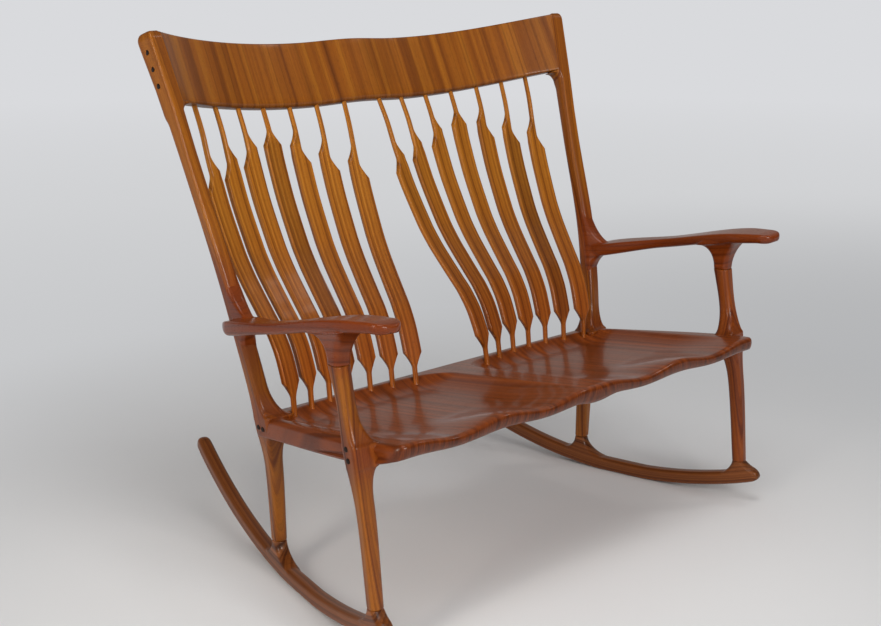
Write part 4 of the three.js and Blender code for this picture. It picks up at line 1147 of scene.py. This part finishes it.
# What is seen of the floor, straight or in the gloss of the wood, fades from paper to backdrop
seen = node(tree, "ShaderNodeLightPath", gives="Is Camera Ray")
for kind_of_ray in ("Is Glossy Ray", "Is Transmission Ray"):
    other = node(tree, "ShaderNodeLightPath", gives=kind_of_ray)
    seen = node(tree, "ShaderNodeMath", {0: seen, 1: other}, operation="MAXIMUM")
far = node(
    tree,
    "ShaderNodeMapRange",
    {"Value": away, "From Min": 0.5, "From Max": 2},
    interpolation_type="SMOOTHSTEP",
)
fade = node(tree, "ShaderNodeMath", {0: seen, 1: far}, operation="MULTIPLY")
floor_blend = node(tree, "ShaderNodeMixShader", {0: fade, 1: paper_surface, 2: backdrop})
node(tree, "ShaderNodeOutputMaterial", {"Surface": floor_blend})
floor.data.materials.append(floor_paper)

# The room. Its light comes mostly from the left, the gloss mirrors it paler at the back and right,
# and the camera sees an even pale wall.
room = bpy.data.worlds.new("pale_room")
bpy.context.scene.world = room
tree = fresh(room)
camera_ray, glossy_ray, clear_ray = [
    node(tree, "ShaderNodeLightPath", gives=kind_of_ray)
    for kind_of_ray in ("Is Camera Ray", "Is Glossy Ray", "Is Transmission Ray")
]
towards = node(tree, "ShaderNodeTexCoord", gives="Generated")
rightward = node(tree, "ShaderNodeSeparateXYZ", {0: towards})
halved = node(tree, "ShaderNodeMath", {0: rightward, 1: 0.5, 2: 0.5}, operation="MULTIPLY_ADD")
back_right = node(
    tree, "ShaderNodeVectorMath", {0: towards, 1: (0.5, 0.5, 0)}, operation="DOT_PRODUCT", gives="Value"
)
fill, mirror = [
    node(
        tree,
        "ShaderNodeBackground",
        {"Color": node(tree, "ShaderNodeValToRGB", {"Fac": place}, stops), "Strength": strength},
    )
    for place, stops, strength in (
        (halved, [(0.2, linear("#eeedeb")), (0.8, linear("#626060"))], 0.72),
        (back_right, [(0.3, linear("#5a5450")), (0.6, linear("#d0cac4"))], 0.65),
    )
]
shown = node(tree, "ShaderNodeBackground", {"Color": linear("#d9dadd"), "Strength": 1})
unseen = node(tree, "ShaderNodeMixShader", {0: glossy_ray, 1: fill, 2: mirror})
looked_at = node(tree, "ShaderNodeMath", {0: camera_ray, 1: clear_ray}, operation="MAXIMUM")
blend = node(tree, "ShaderNodeMixShader", {0: looked_at, 1: unseen, 2: shown})
node(tree, "ShaderNodeOutputWorld", {"Surface": blend})


def softbox(name, place, target, width, height, watts, tint):
    lamp = bpy.data.lights.new(name, "AREA")
    lamp.shape, lamp.size, lamp.size_y = "RECTANGLE", width, height
    lamp.energy, lamp.color = watts, linear(tint)[:3]
    holder = put(name, lamp)
    holder.location = place
    holder.rotation_euler = (Vector(target) - Vector(place)).to_track_quat("-Z", "Y").to_euler()


softbox("window_left", (-2.4, -0.7, 1.2), (-0.4, 0, 0.5), 0.5, 1.0, 15, "#fff4e6")
softbox("softbox_front", (-0.7, -3.8, 2.0), (0, 0, 0.6), 1.5, 1.0, 71, "#fffaf4")
softbox("ceiling_lamp", (-0.5, -0.9, 3.2), (0, 0, 0.4), 1.5, 1.2, 24, "#f8f7f6")
softbox("window_right", (2.0, -0.85, 2.76), (0.2, -0.3, 0.45), 0.32, 0.24, 4, "#fff6ee")

# The camera stands to the left of the front at a seated eye's height, with a normal lens
lens = bpy.data.cameras.new("photo_lens")
lens.sensor_width, lens.lens = 36, 57.21
lens.clip_start, lens.clip_end = 0.1, 200
camera = put("photo_camera", lens)
camera.location = (-2.1300, -2.2374, 1.2933)
camera.rotation_euler = (math.radians(75.52), 0, math.radians(-43.03))
bpy.context.scene.camera = camera
bpy.context.scene.view_settings.view_transform = "Standard"
